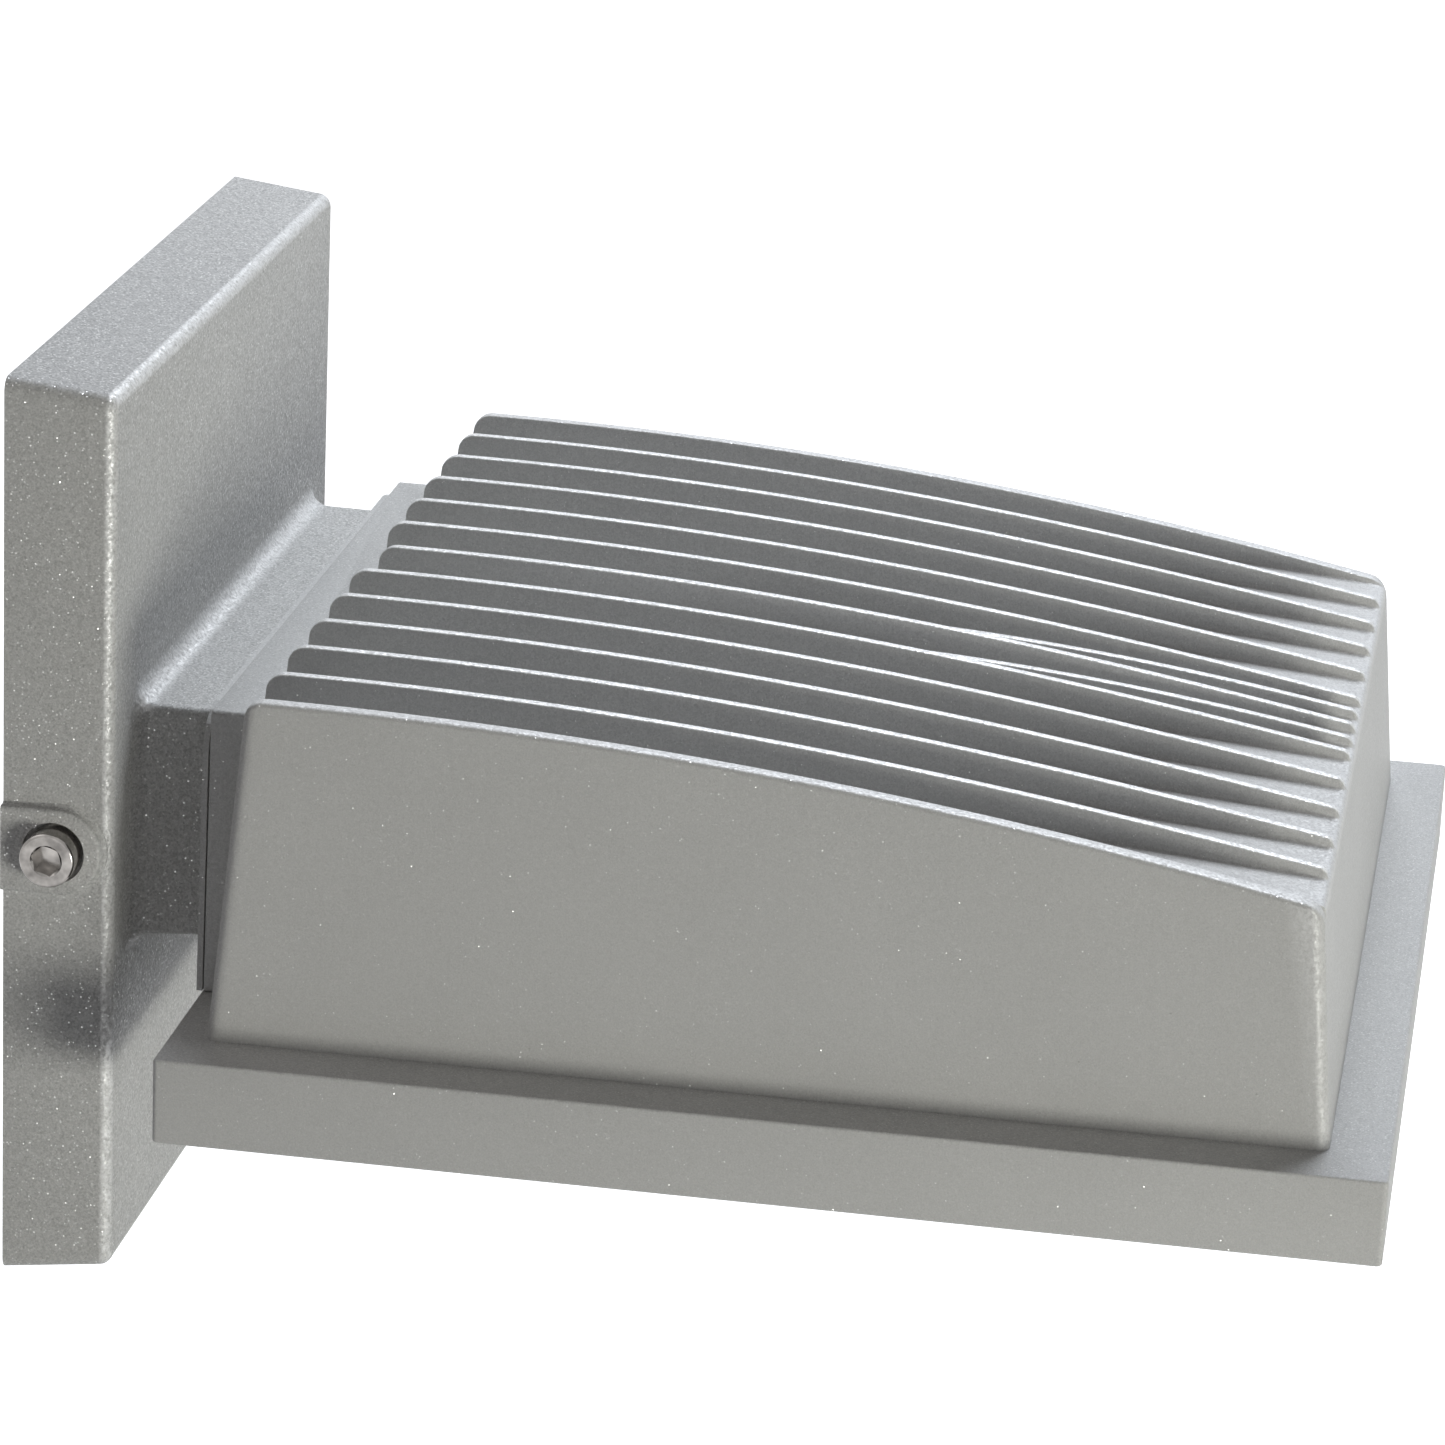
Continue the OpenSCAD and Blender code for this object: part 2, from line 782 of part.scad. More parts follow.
// Heat sink: head with its fins and rear block, one casting

function rear_y(z) = -(head_rear + (z - head_base) * tan(rear_lean));
function front_y(z) = -(head_front - (z - head_base) * tan(front_lean));
function side_x(z) = head_half - (z - head_base) * tan(side_lean);

// Half width inside the head: the sides run straight up, a wall's thickness in from the channel floors
head_inner_half = side_x(floor_rear) - head_wall;

// Fins on each side between the middle fin and the outer wall
fins_inside = floor((side_x(fin_peak) - outer_fin_t - fin_t) / fin_pitch);
fin_span = rear_y(fin_peak) - front_y(floor_front);

// Distances from the rear end at which the fins are sectioned
rear_steps = [0, 0.2, 0.55, 1];
front_steps = [1, 0.6, 0.3, 0.1, 0];
span_n = 11;
sections = concat(
    [for (s = rear_steps) s * fin_rear_r],
    [for (k = [1 : span_n - 1]) fin_rear_r + k / span_n * (fin_span - fin_rear_r - head_front_r)],
    [for (s = front_steps) fin_span - s * head_front_r]
);

// The channel floors start level at the rear block and drop to the front along an arch
floor_run = head_top_front - block_rear;
floor_drop = floor_rear - floor_front;
floor_arch_r = (floor_run * floor_run + floor_drop * floor_drop) / (2 * floor_drop);

// How far an arch of radius r has dropped at distance d from its crown
function arch_drop(d, r) = r - sqrt(r * r - d * d);
function floor_height(dist) = floor_rear - arch_drop(dist - block_rear, floor_arch_r);
function floor_z(d) = floor_height(d - rear_y(fin_peak));
function arch_z(d) = fin_peak - arch_drop(d, fin_arch_r);
function fin_top(d) = arch_z(d) - edge_drop(d, fin_rear_r) - edge_drop(fin_span - d, head_front_r);
function short_fin_top(d) = fin_top(d) - short_fin_sink * (fin_span - d) * (fin_span - d);

// Place of a point at height z and distance d from the rear, between the two leaning ends
function along(d, z) = rear_y(z) + (front_y(z) - rear_y(z)) * d / fin_span;

// Everything above the arch of the fin tops, with its round ends
module arch_lid() {
    reach = box_d;
    curve = [for (d = sections) let (z = fin_top(d)) [along(d, z), z]];
    last = curve[len(curve) - 1];
    side_profile(concat(
        [[curve[0][0] + reach, box_h], [curve[0][0] + reach, curve[0][1]]],
        curve,
        [[last[0] - reach, last[1]], [last[0] - reach, box_h]]), box_w);
}

// Head as one drafted block with round upright corners
module head_block() {
    loft([
        for (z = [head_base, fin_peak + cut])
            [for (p = rect_outline(side_x(z), (rear_y(z) - front_y(z)) / 2, head_corner_r))
                [p[0], p[1] + (rear_y(z) + front_y(z)) / 2, z]]
    ]);
}

// Facets of a full turn of the floor's arch
arch_fn = 720;

// Channel between two faces at x0 and x1, with fillets at its floor, turned along the floor's arch
module channel(x0, x1) {
    root = (x1 - x0) / 2 - fin_draft;
    reach = box_h / 2;
    side_slope = fin_draft / (fin_peak - floor_rear);
    fillet = [for (k = [0 : arc_n])
        let (a = 90 * k / arc_n)
        [fin_root_r * (1 - sin(a)), root - fin_root_r * (1 - cos(a))]];
    right = concat([[reach, root + side_slope * reach]], fillet);
    translate([(x0 + x1) / 2, -block_rear, floor_rear - floor_arch_r])
        rotate([0, -90, 180])
            rotate_extrude(angle = asin((head_front - block_rear) / floor_arch_r), $fn = arch_fn)
                translate([floor_arch_r, 0])
                    polygon(concat(right, [for (i = [len(right) - 1 : -1 : 0]) [right[i][0], -right[i][1]]]));
}

// Short fin in a middle channel: it rises out of the floor towards the front
module short_fin() {
    rise = [for (d = sections) if (short_fin_top(d) > floor_z(d) - cut) d];
    root = [for (d = [rise[len(rise) - 1], rise[0]]) [along(d, floor_z(d)), floor_z(d) - head_roof_t / 2]];
    curve = [for (d = rise) let (z = short_fin_top(d)) [along(d, z), z]];
    side_profile(concat(curve, root), fin_t / 2);
}

module channels() {
    wall_inner = side_x(fin_peak) - outer_fin_t;
    for (i = [-fins_inside - 1 : fins_inside]) {
        x0 = i == -fins_inside - 1 ? -wall_inner : i * fin_pitch + fin_t / 2;
        x1 = i == fins_inside ? wall_inner : (i + 1) * fin_pitch - fin_t / 2;
        difference() {
            channel(x0, x1);
            if (i == -1 || i == 0)
                translate([(i + 0.5) * fin_pitch, 0, 0])
                    short_fin();
        }
    }
}

// Step in the rear end of the middle fin
module mid_fin_step() {
    back = rear_y(fin_peak) - mid_fin_setback;
    translate([-fin_t, back, floor_height(-back) + fin_root_r])
        cube([2 * fin_t, mid_fin_setback + cut, box_h]);
}

module head_body() {
    difference() {
        head_block();
        arch_lid();
        channels();
        mid_fin_step();
    }
}

block_edge_r = 1;

// Block behind the head that takes the neck bolts
module rear_block() {
    seam = -rear_y(floor_rear);
    loft([
        for (p = [[block_rear, 0], [seam, 0], [block_front + cut, fin_root_r]])
            upright(round_outline(block_half_bottom, block_half_top, head_base,
                floor_height(p[0]) - p[1], block_edge_r), p[0])
    ]);
}

function roof_z(y) = floor_height(y) - head_roof_t;

// Points along the inside of the roof between two distances from the wall
roof_n = 8;
function roof_curve(y0, y1, lift = 0) = [
    for (k = [0 : roof_n])
        let (y = y0 + (y1 - y0) * k / roof_n)
        [-y, roof_z(y) + lift]
];

module head_hollow() {
    rear_low = head_rear + head_wall;
    front_low = head_front - head_wall;
    rear_high = rear_low + (roof_z(rear_low) - head_base) * tan(rear_lean);
    front_high = front_low - (roof_z(front_low) - head_base) * tan(front_lean);
    difference() {
        side_profile(concat(
            [[-rear_low, head_base - cut]],
            roof_curve(rear_high, front_high),
            [[-front_low, head_base - cut]]), head_inner_half);
        translate([-block_half_bottom, -block_front, head_base - 2 * cut])
            cube([2 * block_half_bottom, block_front, box_h]);
    }
}

pad_half_x = 74;
pad_half_y = 54;
// Metal left between the end of a neck bolt's thread and the inside of the head
thread_end_t = 1.5;

// Machined pad under the roof, which the board is screwed to
module board_pad() {
    y0 = window_y - pad_half_y;
    y1 = window_y + pad_half_y;
    side_profile(concat([[-y0, pad_z]], roof_curve(y0, y1, cut), [[-y1, pad_z]]), pad_half_x);
}

frame_boss_d = 9;
frame_boss_h = 18;
frame_thread_depth = 14;

module frame_screw_places() {
    both_sides()
        for (y = [frame_screw_rear, (frame_screw_rear + frame_screw_front) / 2, frame_screw_front])
            translate([frame_screw_x, -y, 0])
                children();
}

// Boss for a frame screw, run out to the side wall of the head
module frame_boss() {
    side = head_half - head_wall / 2 - frame_screw_x;
    z_rod(0, 0, frame_boss_d, head_base, head_base + frame_boss_h);
    translate([min(side, 0), -frame_boss_d / 2, head_base])
        cube([abs(side), frame_boss_d, frame_boss_h]);
}

driver_boss_d = 9;
driver_seat_z = 10;
driver_ear = 12;
driver_y = driver_rear + driver_l / 2;
driver_screw_x = driver_w / 2 + driver_ear / 2;
driver_screw_d = 4;
driver_screw_l = 8;

board_screw_d = 3;
board_screw_l = 6;
board_screw_edge = 5;
reflector_screw_l = 6;
reflector_screw_edge = 9;
reflector_screw_x = pad_half_x - reflector_screw_edge;
reflector_screw_y = pad_half_y - reflector_screw_edge;

module board_screw_places() {
    x = board_w / 2 - board_screw_edge;
    y = board_l / 2 - board_screw_edge;
    for (sx = [-1, 1])
        for (sy = [-1, 1])
            translate([sx * x, sy * y - window_y, 0])
                children();
}

module reflector_screw_places() {
    for (sx = [-1, 1])
        for (sy = [-1, 1])
            translate([sx * reflector_screw_x, -window_y + sy * reflector_screw_y, 0])
                children();
}

led_lead_spread = 3;
led_slot_w = 10;
led_slot_h = 4;
board_hole_edge = 6;
board_hole_y = window_y - board_l / 2 + board_hole_edge;

module heat_sink() {
    color(paint)
        difference() {
            union() {
                difference() {
                    union() {
                        head_body();
                        rear_block();
                    }
                    head_hollow();
                }
                board_pad();
                frame_screw_places()
                    frame_boss();
                both_sides()
                    z_rod(driver_screw_x, -driver_y, driver_boss_d, driver_seat_z, roof_z(driver_y) + cut);
            }
            frame_screw_places()
                z_rod(0, 0, frame_screw_d, head_base - cut, head_base + frame_thread_depth);
            both_sides()
                z_rod(driver_screw_x, -driver_y, driver_screw_d, driver_seat_z - cut,
                    driver_seat_z + driver_screw_l);
            neck_bolt_places()
                y_rod(0, 0, neck_bolt_d, block_rear - cut, block_front - thread_end_t);
            y_rod(0, 0, wire_way_d, block_rear - cut, block_front + cut);
            board_screw_places()
                z_rod(0, 0, board_screw_d, pad_z - cut, pad_z + board_screw_l);
            reflector_screw_places()
                z_rod(0, 0, board_screw_d, pad_z - cut, pad_z + reflector_screw_l);
            translate([-led_slot_w / 2, -board_hole_y - led_slot_w / 2, pad_z - cut])
                cube([led_slot_w, board_hole_y + led_slot_w / 2 - (window_y - pad_half_y) + cut,
                    led_slot_h + cut]);
        }
}

// Driver: sealed case with an ear at each end, hung under the roof

driver_sheet_t = 1.5;
driver_edge_r = 2;

module driver_case() {
    top = driver_seat_z;
    color([0.82, 0.82, 0.8])
        difference() {
            union() {
                translate([0, -driver_y, top - driver_h])
                    linear_extrude(driver_h)
                        polygon(rect_outline(driver_w / 2, driver_l / 2, driver_edge_r));
                translate([0, -driver_y, top - driver_sheet_t])
                    linear_extrude(driver_sheet_t)
                        polygon(rect_outline(driver_w / 2 + driver_ear, driver_l / 3, driver_edge_r));
            }
            both_sides()
                z_rod(driver_screw_x, -driver_y, driver_screw_d + 2 * bolt_gap,
                    top - driver_sheet_t - cut, top + cut);
        }
}

module driver_screws() {
    color(steel)
        both_sides()
            translate([driver_screw_x, -driver_y, driver_seat_z - driver_sheet_t])
                rotate([180, 0, 0])
                    pan_screw(driver_screw_d - 2 * thread_gap, driver_screw_l);
}

// The leads to the board run under the top of their slot and dip at both ends
led_lead_d = 1.2;
led_lead_gap = 0.4;
led_lead_dip = 2;

module led_leads() {
    run_z = pad_z + led_slot_h - led_lead_d - led_lead_gap;
    end_y = driver_rear + driver_l;
    for (s = [-1, 1])
        color(s < 0 ? [0.75, 0.1, 0.1] : [0.1, 0.1, 0.1])
            loft(lead_rings([
                [s * led_lead_spread, -end_y, run_z - led_lead_dip],
                [s * led_lead_spread, -board_hole_y, run_z],
                [s * led_lead_spread, -board_hole_y, run_z - led_lead_dip / 2],
                [s * led_lead_spread, -board_hole_y, pad_z - pad_sheet_t - board_t]],
                led_lead_d, lead_rings_n));
}

// Board, emitters and reflector

pad_sheet_t = 0.5;
board_hole_d = 9;
board_bottom = pad_z - pad_sheet_t - board_t;
led_side = 5;
led_base_h = 0.6;
led_dome_d = 4.2;

module board_sheet(z0, z1) {
    difference() {
        translate([0, -window_y, z0])
            linear_extrude(z1 - z0)
                polygon(rect_outline(board_w / 2, board_l / 2, 2));
        board_screw_places()
            z_rod(0, 0, board_screw_d + 2 * bolt_gap, z0 - cut, z1 + cut);
        z_rod(0, -board_hole_y, board_hole_d, z0 - cut, z1 + cut);
    }
}

module thermal_pad() {
    color([0.75, 0.78, 0.82])
        board_sheet(pad_z - pad_sheet_t, pad_z);
}

module led_board() {
    color([0.95, 0.95, 0.93])
        board_sheet(board_bottom, pad_z - pad_sheet_t);
}

module led_emitters() {
    color([0.98, 0.85, 0.3])
        for (i = [0 : led_nx - 1])
            for (j = [0 : led_ny - 1])
                translate([(i - (led_nx - 1) / 2) * led_pitch,
                        -window_y - (j - (led_ny - 1) / 2) * led_pitch, board_bottom])
                    rotate([180, 0, 0])
                        union() {
                            translate([-led_side / 2, -led_side / 2, 0])
                                cube([led_side, led_side, led_base_h]);
                            intersection() {
                                translate([0, 0, led_base_h])
                                    sphere(d = led_dome_d, $fn = 32);
                                translate([-led_side / 2, -led_side / 2, 0])
                                    cube([led_side, led_side, led_side]);
                            }
                        }
}

module led_board_screws() {
    color(steel)
        board_screw_places()
            translate([0, 0, board_bottom])
                rotate([180, 0, 0])
                    pan_screw(board_screw_d - 2 * thread_gap, board_screw_l);
}

reflector_lens_gap = 1.5;
reflector_mouth_gap = 1.5;
reflector_neck_in = 3;
reflector_r = 6;
reflector_low = lens_top + reflector_lens_gap;

// Tray of the reflector as a loft, grown outwards by t
module reflector_form(t, low, high) {
    mouth = reflector_mouth_gap + reflector_t - t;
    throat = reflector_neck_in - t;
    translate([0, -window_y, 0])
        loft([
            flat(rect_outline(window_w / 2 - mouth, window_l / 2 - mouth, reflector_r + t), low),
            flat(rect_outline(pad_half_x - throat, pad_half_y - throat, reflector_r + t), high)
        ]);
}

reflector_window = 2;

module reflector() {
    color([0.93, 0.94, 0.95])
        difference() {
            reflector_form(0, reflector_low, pad_z);
            difference() {
                reflector_form(-reflector_t, reflector_low - cut / 100, pad_z);
                translate([-pad_half_x, -window_y - pad_half_y, pad_z - reflector_t])
                    cube([2 * pad_half_x, 2 * pad_half_y, 2 * reflector_t]);
            }
            translate([0, -window_y, pad_z - reflector_t - cut])
                linear_extrude(reflector_t + 2 * cut)
                    polygon(rect_outline(board_w / 2 + reflector_window, board_l / 2 + reflector_window, 3));
            reflector_screw_places()
                z_rod(0, 0, board_screw_d + 2 * bolt_gap, pad_z - reflector_t - cut, pad_z + cut);
        }
}

module reflector_screws() {
    color(steel)
        reflector_screw_places()
            translate([0, 0, pad_z - reflector_t])
                rotate([180, 0, 0])
                    pan_screw(board_screw_d - 2 * thread_gap, reflector_screw_l);
}

// Lens frame with its lens, seals, clips and screws

frame_y = (frame_rear + frame_front) / 2;
frame_half_y = (frame_front - frame_rear) / 2;
housing_seal_w = 2;
housing_seal_d = 1.6;
pocket_wall = 3;
window_r = 6;
lens_r = 3;
clip_l = 12;
clip_w = 12.5;
clip_t = 1.2;
clip_y = 52;
clip_screw_d = 3;
clip_screw_l = 6;
clip_screw_gap = 5;
clip_screw_x = lens_half_x + clip_screw_gap;
// Width of the notch for a clip, and how far it reaches in past its middle
clip_notch = 9;
clip_reach = 1.5;

// The seal follows the middle of the wall of the head
module housing_seal_ring() {
    mid = head_wall / 2 - housing_seal_w / 2;
    half_x = head_half - mid;
    half_y = (head_front - head_rear) / 2 - mid;
    translate([0, -(head_front + head_rear) / 2, head_base - housing_seal_d])
        linear_extrude(housing_seal_d)
            difference() {
                polygon(rect_outline(half_x, half_y, head_corner_r));
                polygon(rect_outline(half_x - housing_seal_w, half_y - housing_seal_w, head_corner_r / 2));
            }
}

module clip_places() {
    for (sx = [-1, 1])
        for (sy = [-1, 1])
            translate([sx * clip_screw_x, -window_y + sy * clip_y, lens_top])
                rotate([0, 0, sx > 0 ? 0 : 180])
                    children();
}

frame_cbore_d = 9.6;
frame_head_d = 8.5;
frame_head_h = 5;
frame_socket_af = 4;
frame_cbore_depth = 6;
// Thread depth that a frame screw leaves free under it
frame_screw_free = 2;

module lens_frame() {
    outline = rect_outline(frame_half, frame_half_y, frame_corner_r, 3);
    inset = rect_outline(frame_half - frame_bevel, frame_half_y - frame_bevel,
        frame_corner_r - frame_bevel, 3);
    pocket_l = window_y - lens_half_y - head_rear - 2 * head_wall - 2 * pocket_wall - clip_notch / 2;
    color(paint)
        difference() {
            translate([0, -frame_y, 0])
                loft([
                    flat(inset, frame_bottom),
                    flat(outline, frame_bottom + frame_bevel),
                    flat(outline, head_base - frame_bevel),
                    flat(inset, head_base)
                ]);
            translate([0, -window_y, frame_bottom - cut])
                linear_extrude(frame_t)
                    polygon(rect_outline(window_w / 2, window_l / 2, window_r));
            translate([0, -window_y, ledge_top])
                linear_extrude(frame_t)
                    polygon(rect_outline(lens_half_x + lens_clear, lens_half_y + lens_clear, lens_r));
            translate([-lens_half_x, -(head_rear + head_wall + pocket_wall + pocket_l), ledge_top])
                cube([2 * lens_half_x, pocket_l, frame_t]);
            frame_screw_places() {
                z_rod(0, 0, frame_screw_d + 2 * bolt_gap, frame_bottom - cut, head_base + cut);
                z_rod(0, 0, frame_cbore_d, frame_bottom - cut, frame_bottom + frame_cbore_depth);
            }
            clip_places() {
                translate([-clip_notch / 2 - clip_reach, -clip_l / 2 - lens_clear, 0])
                    cube([clip_notch + lens_clear, clip_l + 2 * lens_clear, frame_t]);
                z_rod(0, 0, clip_screw_d, -clip_screw_l, cut);
            }
            housing_seal_ring();
        }
}

module housing_seal() {
    color(rubber)
        housing_seal_ring();
}

module frame_screws() {
    length = frame_t - frame_cbore_depth + frame_thread_depth - frame_screw_free;
    color(steel)
        frame_screw_places()
            translate([0, 0, frame_bottom + frame_cbore_depth])
                rotate([180, 0, 0])
                    cap_screw(frame_screw_d - 2 * thread_gap, length, frame_head_d, frame_head_h,
                        frame_socket_af);
}

module lens_gasket() {
    color([0.85, 0.85, 0.83])
        translate([0, -window_y, ledge_top])
            linear_extrude(lens_gasket_t)
                difference() {
                    polygon(rect_outline(lens_half_x, lens_half_y, lens_r));
                    polygon(rect_outline(window_w / 2 + lens_clear, window_l / 2 + lens_clear, window_r));
                }
}

module lens() {
    color([0.85, 0.92, 0.92, 0.4])
        translate([0, -window_y, lens_bottom])
            linear_extrude(lens_t)
                polygon(rect_outline(lens_half_x, lens_half_y, lens_r));
}

module lens_clips() {
    color(steel)
        clip_places()
            difference() {
                translate([clip_notch / 2 - clip_reach - clip_w, -clip_l / 2, 0])
                    cube([clip_w, clip_l, clip_t]);
                z_rod(0, 0, clip_screw_d + 2 * bolt_gap, -cut, clip_t + cut);
            }
}

module lens_clip_screws() {
    color(steel)
        clip_places()
            translate([0, 0, clip_t])
                pan_screw(clip_screw_d - 2 * thread_gap, clip_screw_l);
}

wall_bracket();
ear_nuts();
wire_bushing();
ground_screw();
terminal_block();
terminal_screws();
wall_gasket();
wall_box();
side_screws();
neck_seal();
neck_bolts();
neck_washers();
wire_grommet();
supply_leads();
mounting_plate();
head_gasket();
heat_sink();
driver_case();
driver_screws();
led_leads();
thermal_pad();
led_board();
led_emitters();
led_board_screws();
reflector();
reflector_screws();
housing_seal();
lens_frame();
frame_screws();
lens_gasket();
lens();
lens_clips();
lens_clip_screws();
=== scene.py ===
"""Looks of the wall pack light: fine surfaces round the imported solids, materials, studio and camera.

Lengths are written in millimetres in the part's own frame: the wall plane is Y = 0, the light
reaches towards -Y, Z is up and X = 0 is the plane of symmetry. MM turns them into metres.
"""
import json
import math

import bmesh
import bpy
from mathutils import Matrix, Vector


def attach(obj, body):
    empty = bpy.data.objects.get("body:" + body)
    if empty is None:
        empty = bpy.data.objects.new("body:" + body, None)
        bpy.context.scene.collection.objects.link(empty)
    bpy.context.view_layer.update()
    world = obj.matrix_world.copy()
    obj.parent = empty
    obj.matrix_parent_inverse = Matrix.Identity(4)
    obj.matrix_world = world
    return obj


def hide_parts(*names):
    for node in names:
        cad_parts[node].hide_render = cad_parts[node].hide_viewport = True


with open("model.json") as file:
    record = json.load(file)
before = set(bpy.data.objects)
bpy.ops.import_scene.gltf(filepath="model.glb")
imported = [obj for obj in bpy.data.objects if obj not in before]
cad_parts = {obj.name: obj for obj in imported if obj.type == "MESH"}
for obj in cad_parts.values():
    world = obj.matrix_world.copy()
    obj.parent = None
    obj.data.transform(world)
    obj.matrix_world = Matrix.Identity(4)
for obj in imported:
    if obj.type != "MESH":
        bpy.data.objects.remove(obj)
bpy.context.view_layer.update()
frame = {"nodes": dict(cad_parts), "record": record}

MM = 0.001
ROOT = "root"

# How far a cutting shape runs past the face that it cuts through
PAST = 1.0

# Wall box and neck
BOX_HALF = 80.0
BOX_DEPTH = 18.9
BOX_DRAFT_X = 0.6
BOX_DRAFT_Z = 2.15
BOX_CORNER_R = 2.4
BOX_LEAST_CORNER_R = 0.3
BOX_EDGE_R = 2.0
BOX_RIM = 4.7
BOX_FRONT_T = 3.2
NECK_SINK = 1.5
NECK_END = 32.9
NECK_HALF_TOP = 64.9
NECK_HALF_BOTTOM = 69.6
NECK_TOP = 20.5
NECK_BOTTOM = -19.8
NECK_DRAFT_TOP = 0.2
NECK_DRAFT_BOTTOM = 1.0
NECK_FILLET_R = 4.0
NECK_EDGE_R = 1.5
NECK_WALL = 4.0
NECK_END_T = 4.0
NECK_BOLT_X = 45.0
NECK_BOLT_Z = 9.0
NECK_BOLT_HOLE_D = 6.5
NECK_THREAD_D = 6.0
NECK_THREAD_STOP = 1.5
GROMMET_HOLE_D = 16.0
WIRE_WAY_D = 14.0
GASKET_GROOVE_EDGE = 1.2
GASKET_GROOVE_W = 2.4
GASKET_GROOVE_DEPTH = 1.8

# Side bosses and screws
BOSS_X = 82.0
BOSS_R = 7.6
BOSS_AXIS_Y = -9.8
BOSS_EDGE_R = 0.7
BOSS_ROOT_R = 1.0
BOSS_ROOT_GROWTH = 0.6
SCREW_Y = -9.2
SCREW_Z = -1.6
SCREW_D = 6.35
SCREW_HOLE_D = 7.15
SCREW_LENGTH = 16.0
HEAD_D = 9.53
HEAD_H = 6.35
HEAD_ROUND = 0.55
SOCKET_AF = 4.76
SOCKET_DEPTH = 3.2
SOCKET_TURN = 14.0
SCREW_END_BEVEL = 0.5
SCREW_SEAT_BEVEL = 0.2
# Bevel at the mouth of the socket, and how far the cone that cuts it runs below and past the face
SOCKET_BEVEL = 0.4
SOCKET_BEVEL_DEPTH = 0.5
SOCKET_BEVEL_PAST = 0.35
CBORE_D = 10.83
CBORE_DEPTH = 2.0

# Head
HEAD_BASE = -26.15
HEAD_HALF = 98.4
HEAD_REAR = 40.0
HEAD_FRONT = 227.6
REAR_LEAN = math.tan(math.radians(5.0))
FRONT_LEAN = math.tan(math.radians(5.5))
SIDE_LEAN = math.tan(math.radians(2.5))
HEAD_CORNER_R = 2.0
HEAD_FRONT_R = 3.0
HEAD_WALL = 3.4
ROOF_T = 4.5
BLOCK_REAR = 34.3
BLOCK_FRONT = 47.3
BLOCK_HALF_TOP = 74.1
BLOCK_HALF_BOTTOM = 76.7
BLOCK_CORNER_R = 1.0
# Rounded rear edge of the block: distance from its rear face, and how far its outline draws in there
BLOCK_REAR_EDGE = ((0.0, 0.3), (0.1, 0.12), (0.3, 0.0))
FIN_PITCH = 15.7
FIN_T = 2.0
OUTER_FIN_T = 3.1
FIN_DRAFT = 0.25
FIN_ROUND = 0.3
OUTER_ROUND = 0.9
FIN_FOOT = 0.5
FIN_ROOT_R = 1.2
FIN_PEAK = 32.9
FIN_ARCH_R = 880.0
FIN_REAR_R = 3.0
FIN_END_R = 0.5
FIN_TIP = 0.5
FIN_TIP_R = 0.8
FIN_TIP_LENGTH = 1.2
FIN_LIFT = 0.8
FIN_LIFT_POWER = 6
# Share of its own height that a low fin gives to its root and its top radius
FIN_R_SHARE = 0.4
MID_FIN_SETBACK = 1.8
FLOOR_REAR = 23.6
FLOOR_FRONT = 13.8
FLOOR_EDGE_R = 0.8
SHORT_FIN_SINK = 0.00045
FINS_INSIDE = 5
POST_X = 91.0
POST_D = 9.0
POST_PLACES = (-52.0, -135.0, -218.0)
POST_H = 18.0
FRAME_THREAD_D = 5.0
FRAME_THREAD_DEPTH = 14.0
DRIVER_POST_X = 65.0
DRIVER_POST_Y = -63.8
DRIVER_POST_Z = 10.0
DRIVER_POST_D = 9.0
PAD_Z = 6.0
PAD_HALF_X = 74.0
PAD_HALF_Y = 54.0
LEAD_SLOT_HALF = 5.0
LEAD_SLOT_TOP = 10.0
LEAD_SLOT_END = 27.0
# A height above the whole head
ABOVE = 60.0

# Lens frame
FRAME_HALF = 109.1
FRAME_REAR = 33.8
FRAME_FRONT = 237.8
FRAME_T = 14.85
FRAME_CORNER_R = 0.9
FRAME_BEVEL = 0.5
# Part of the bevel that the corner radius gives up
FRAME_CORNER_SHARE = 0.8
WINDOW_HALF_X = 80.0
WINDOW_HALF_Y = 68.0
WINDOW_Y = -146.0
WINDOW_R = 6.0
LEDGE_W = 5.0
LEDGE_T = 3.5
LENS_CLEAR = 0.5
LENS_R = 3.0
LENS_T = 4.0
LENS_GASKET_T = 1.0
POCKET_REAR = -46.4
POCKET_FRONT = -61.7
FRAME_HOLE_D = 5.5
FRAME_CBORE_D = 9.6
FRAME_CBORE_DEPTH = 6.0
CLIP_Y = 52.0
CLIP_NOTCH_IN = 84.0
CLIP_NOTCH_OUT = 93.5
CLIP_NOTCH_HALF = 6.5

# Painted highlight: the coat is painted lighter and more metallic on rounded edges, and on the channel
# floors towards the front of the head, where light catches them
EDGE_HIGHLIGHT = 0.65
OUTER_WALL_HIGHLIGHT = 0.55
CORNER_HIGHLIGHT = 0.3
FILLET_HIGHLIGHT = 0.75
FILLET_HIGHLIGHT_POWER = 4
FRONT_FLOOR_HIGHLIGHT = 0.4
FRONT_FLOOR_HIGHLIGHT_REACH = 34.0

# Points on the quarter circle of a rounded edge, on the half circle of a boss or post, and round circles
ARC_N = 6
BOSS_ARC_N = 32
POST_ARC_N = 24
THREAD_N = 24
SMALL_N = 32
ROUND_N = 48
FINE_N = 64
SCREW_N = 96

# Steps along the fins and along the roof of the hollow
FIN_REAR_STEPS = 6
FIN_MIDDLE_STEPS = 44
FIN_FRONT_STEPS = 16
ROOF_STEPS = 12

# Angle in degrees from which an edge shows sharp
SHARP_ANGLE = 32
SCREW_SHARP_ANGLE = 25

# Flakes in the powder coats: their size, how the grain and the share of bright flakes grow between two
# values of the normal's Z on faces that look up (painted glints of the light from above on a real flake
# grain), the turn that keeps rows of flakes from lying along an edge, and how far flakes tilt
FINE_FLAKE = 0.30
COARSE_FLAKE = 0.38
UP_LOW = 0.5
UP_HIGH = 0.95
UP_GLINT_GRAIN = 1.3
UP_GLINT_SPARKS = 0.05
FLAKE_TURN = (0.6, 0.4, 0.9)
FLAKE_TILT = 0.24
SPARK_TILT = 0.9

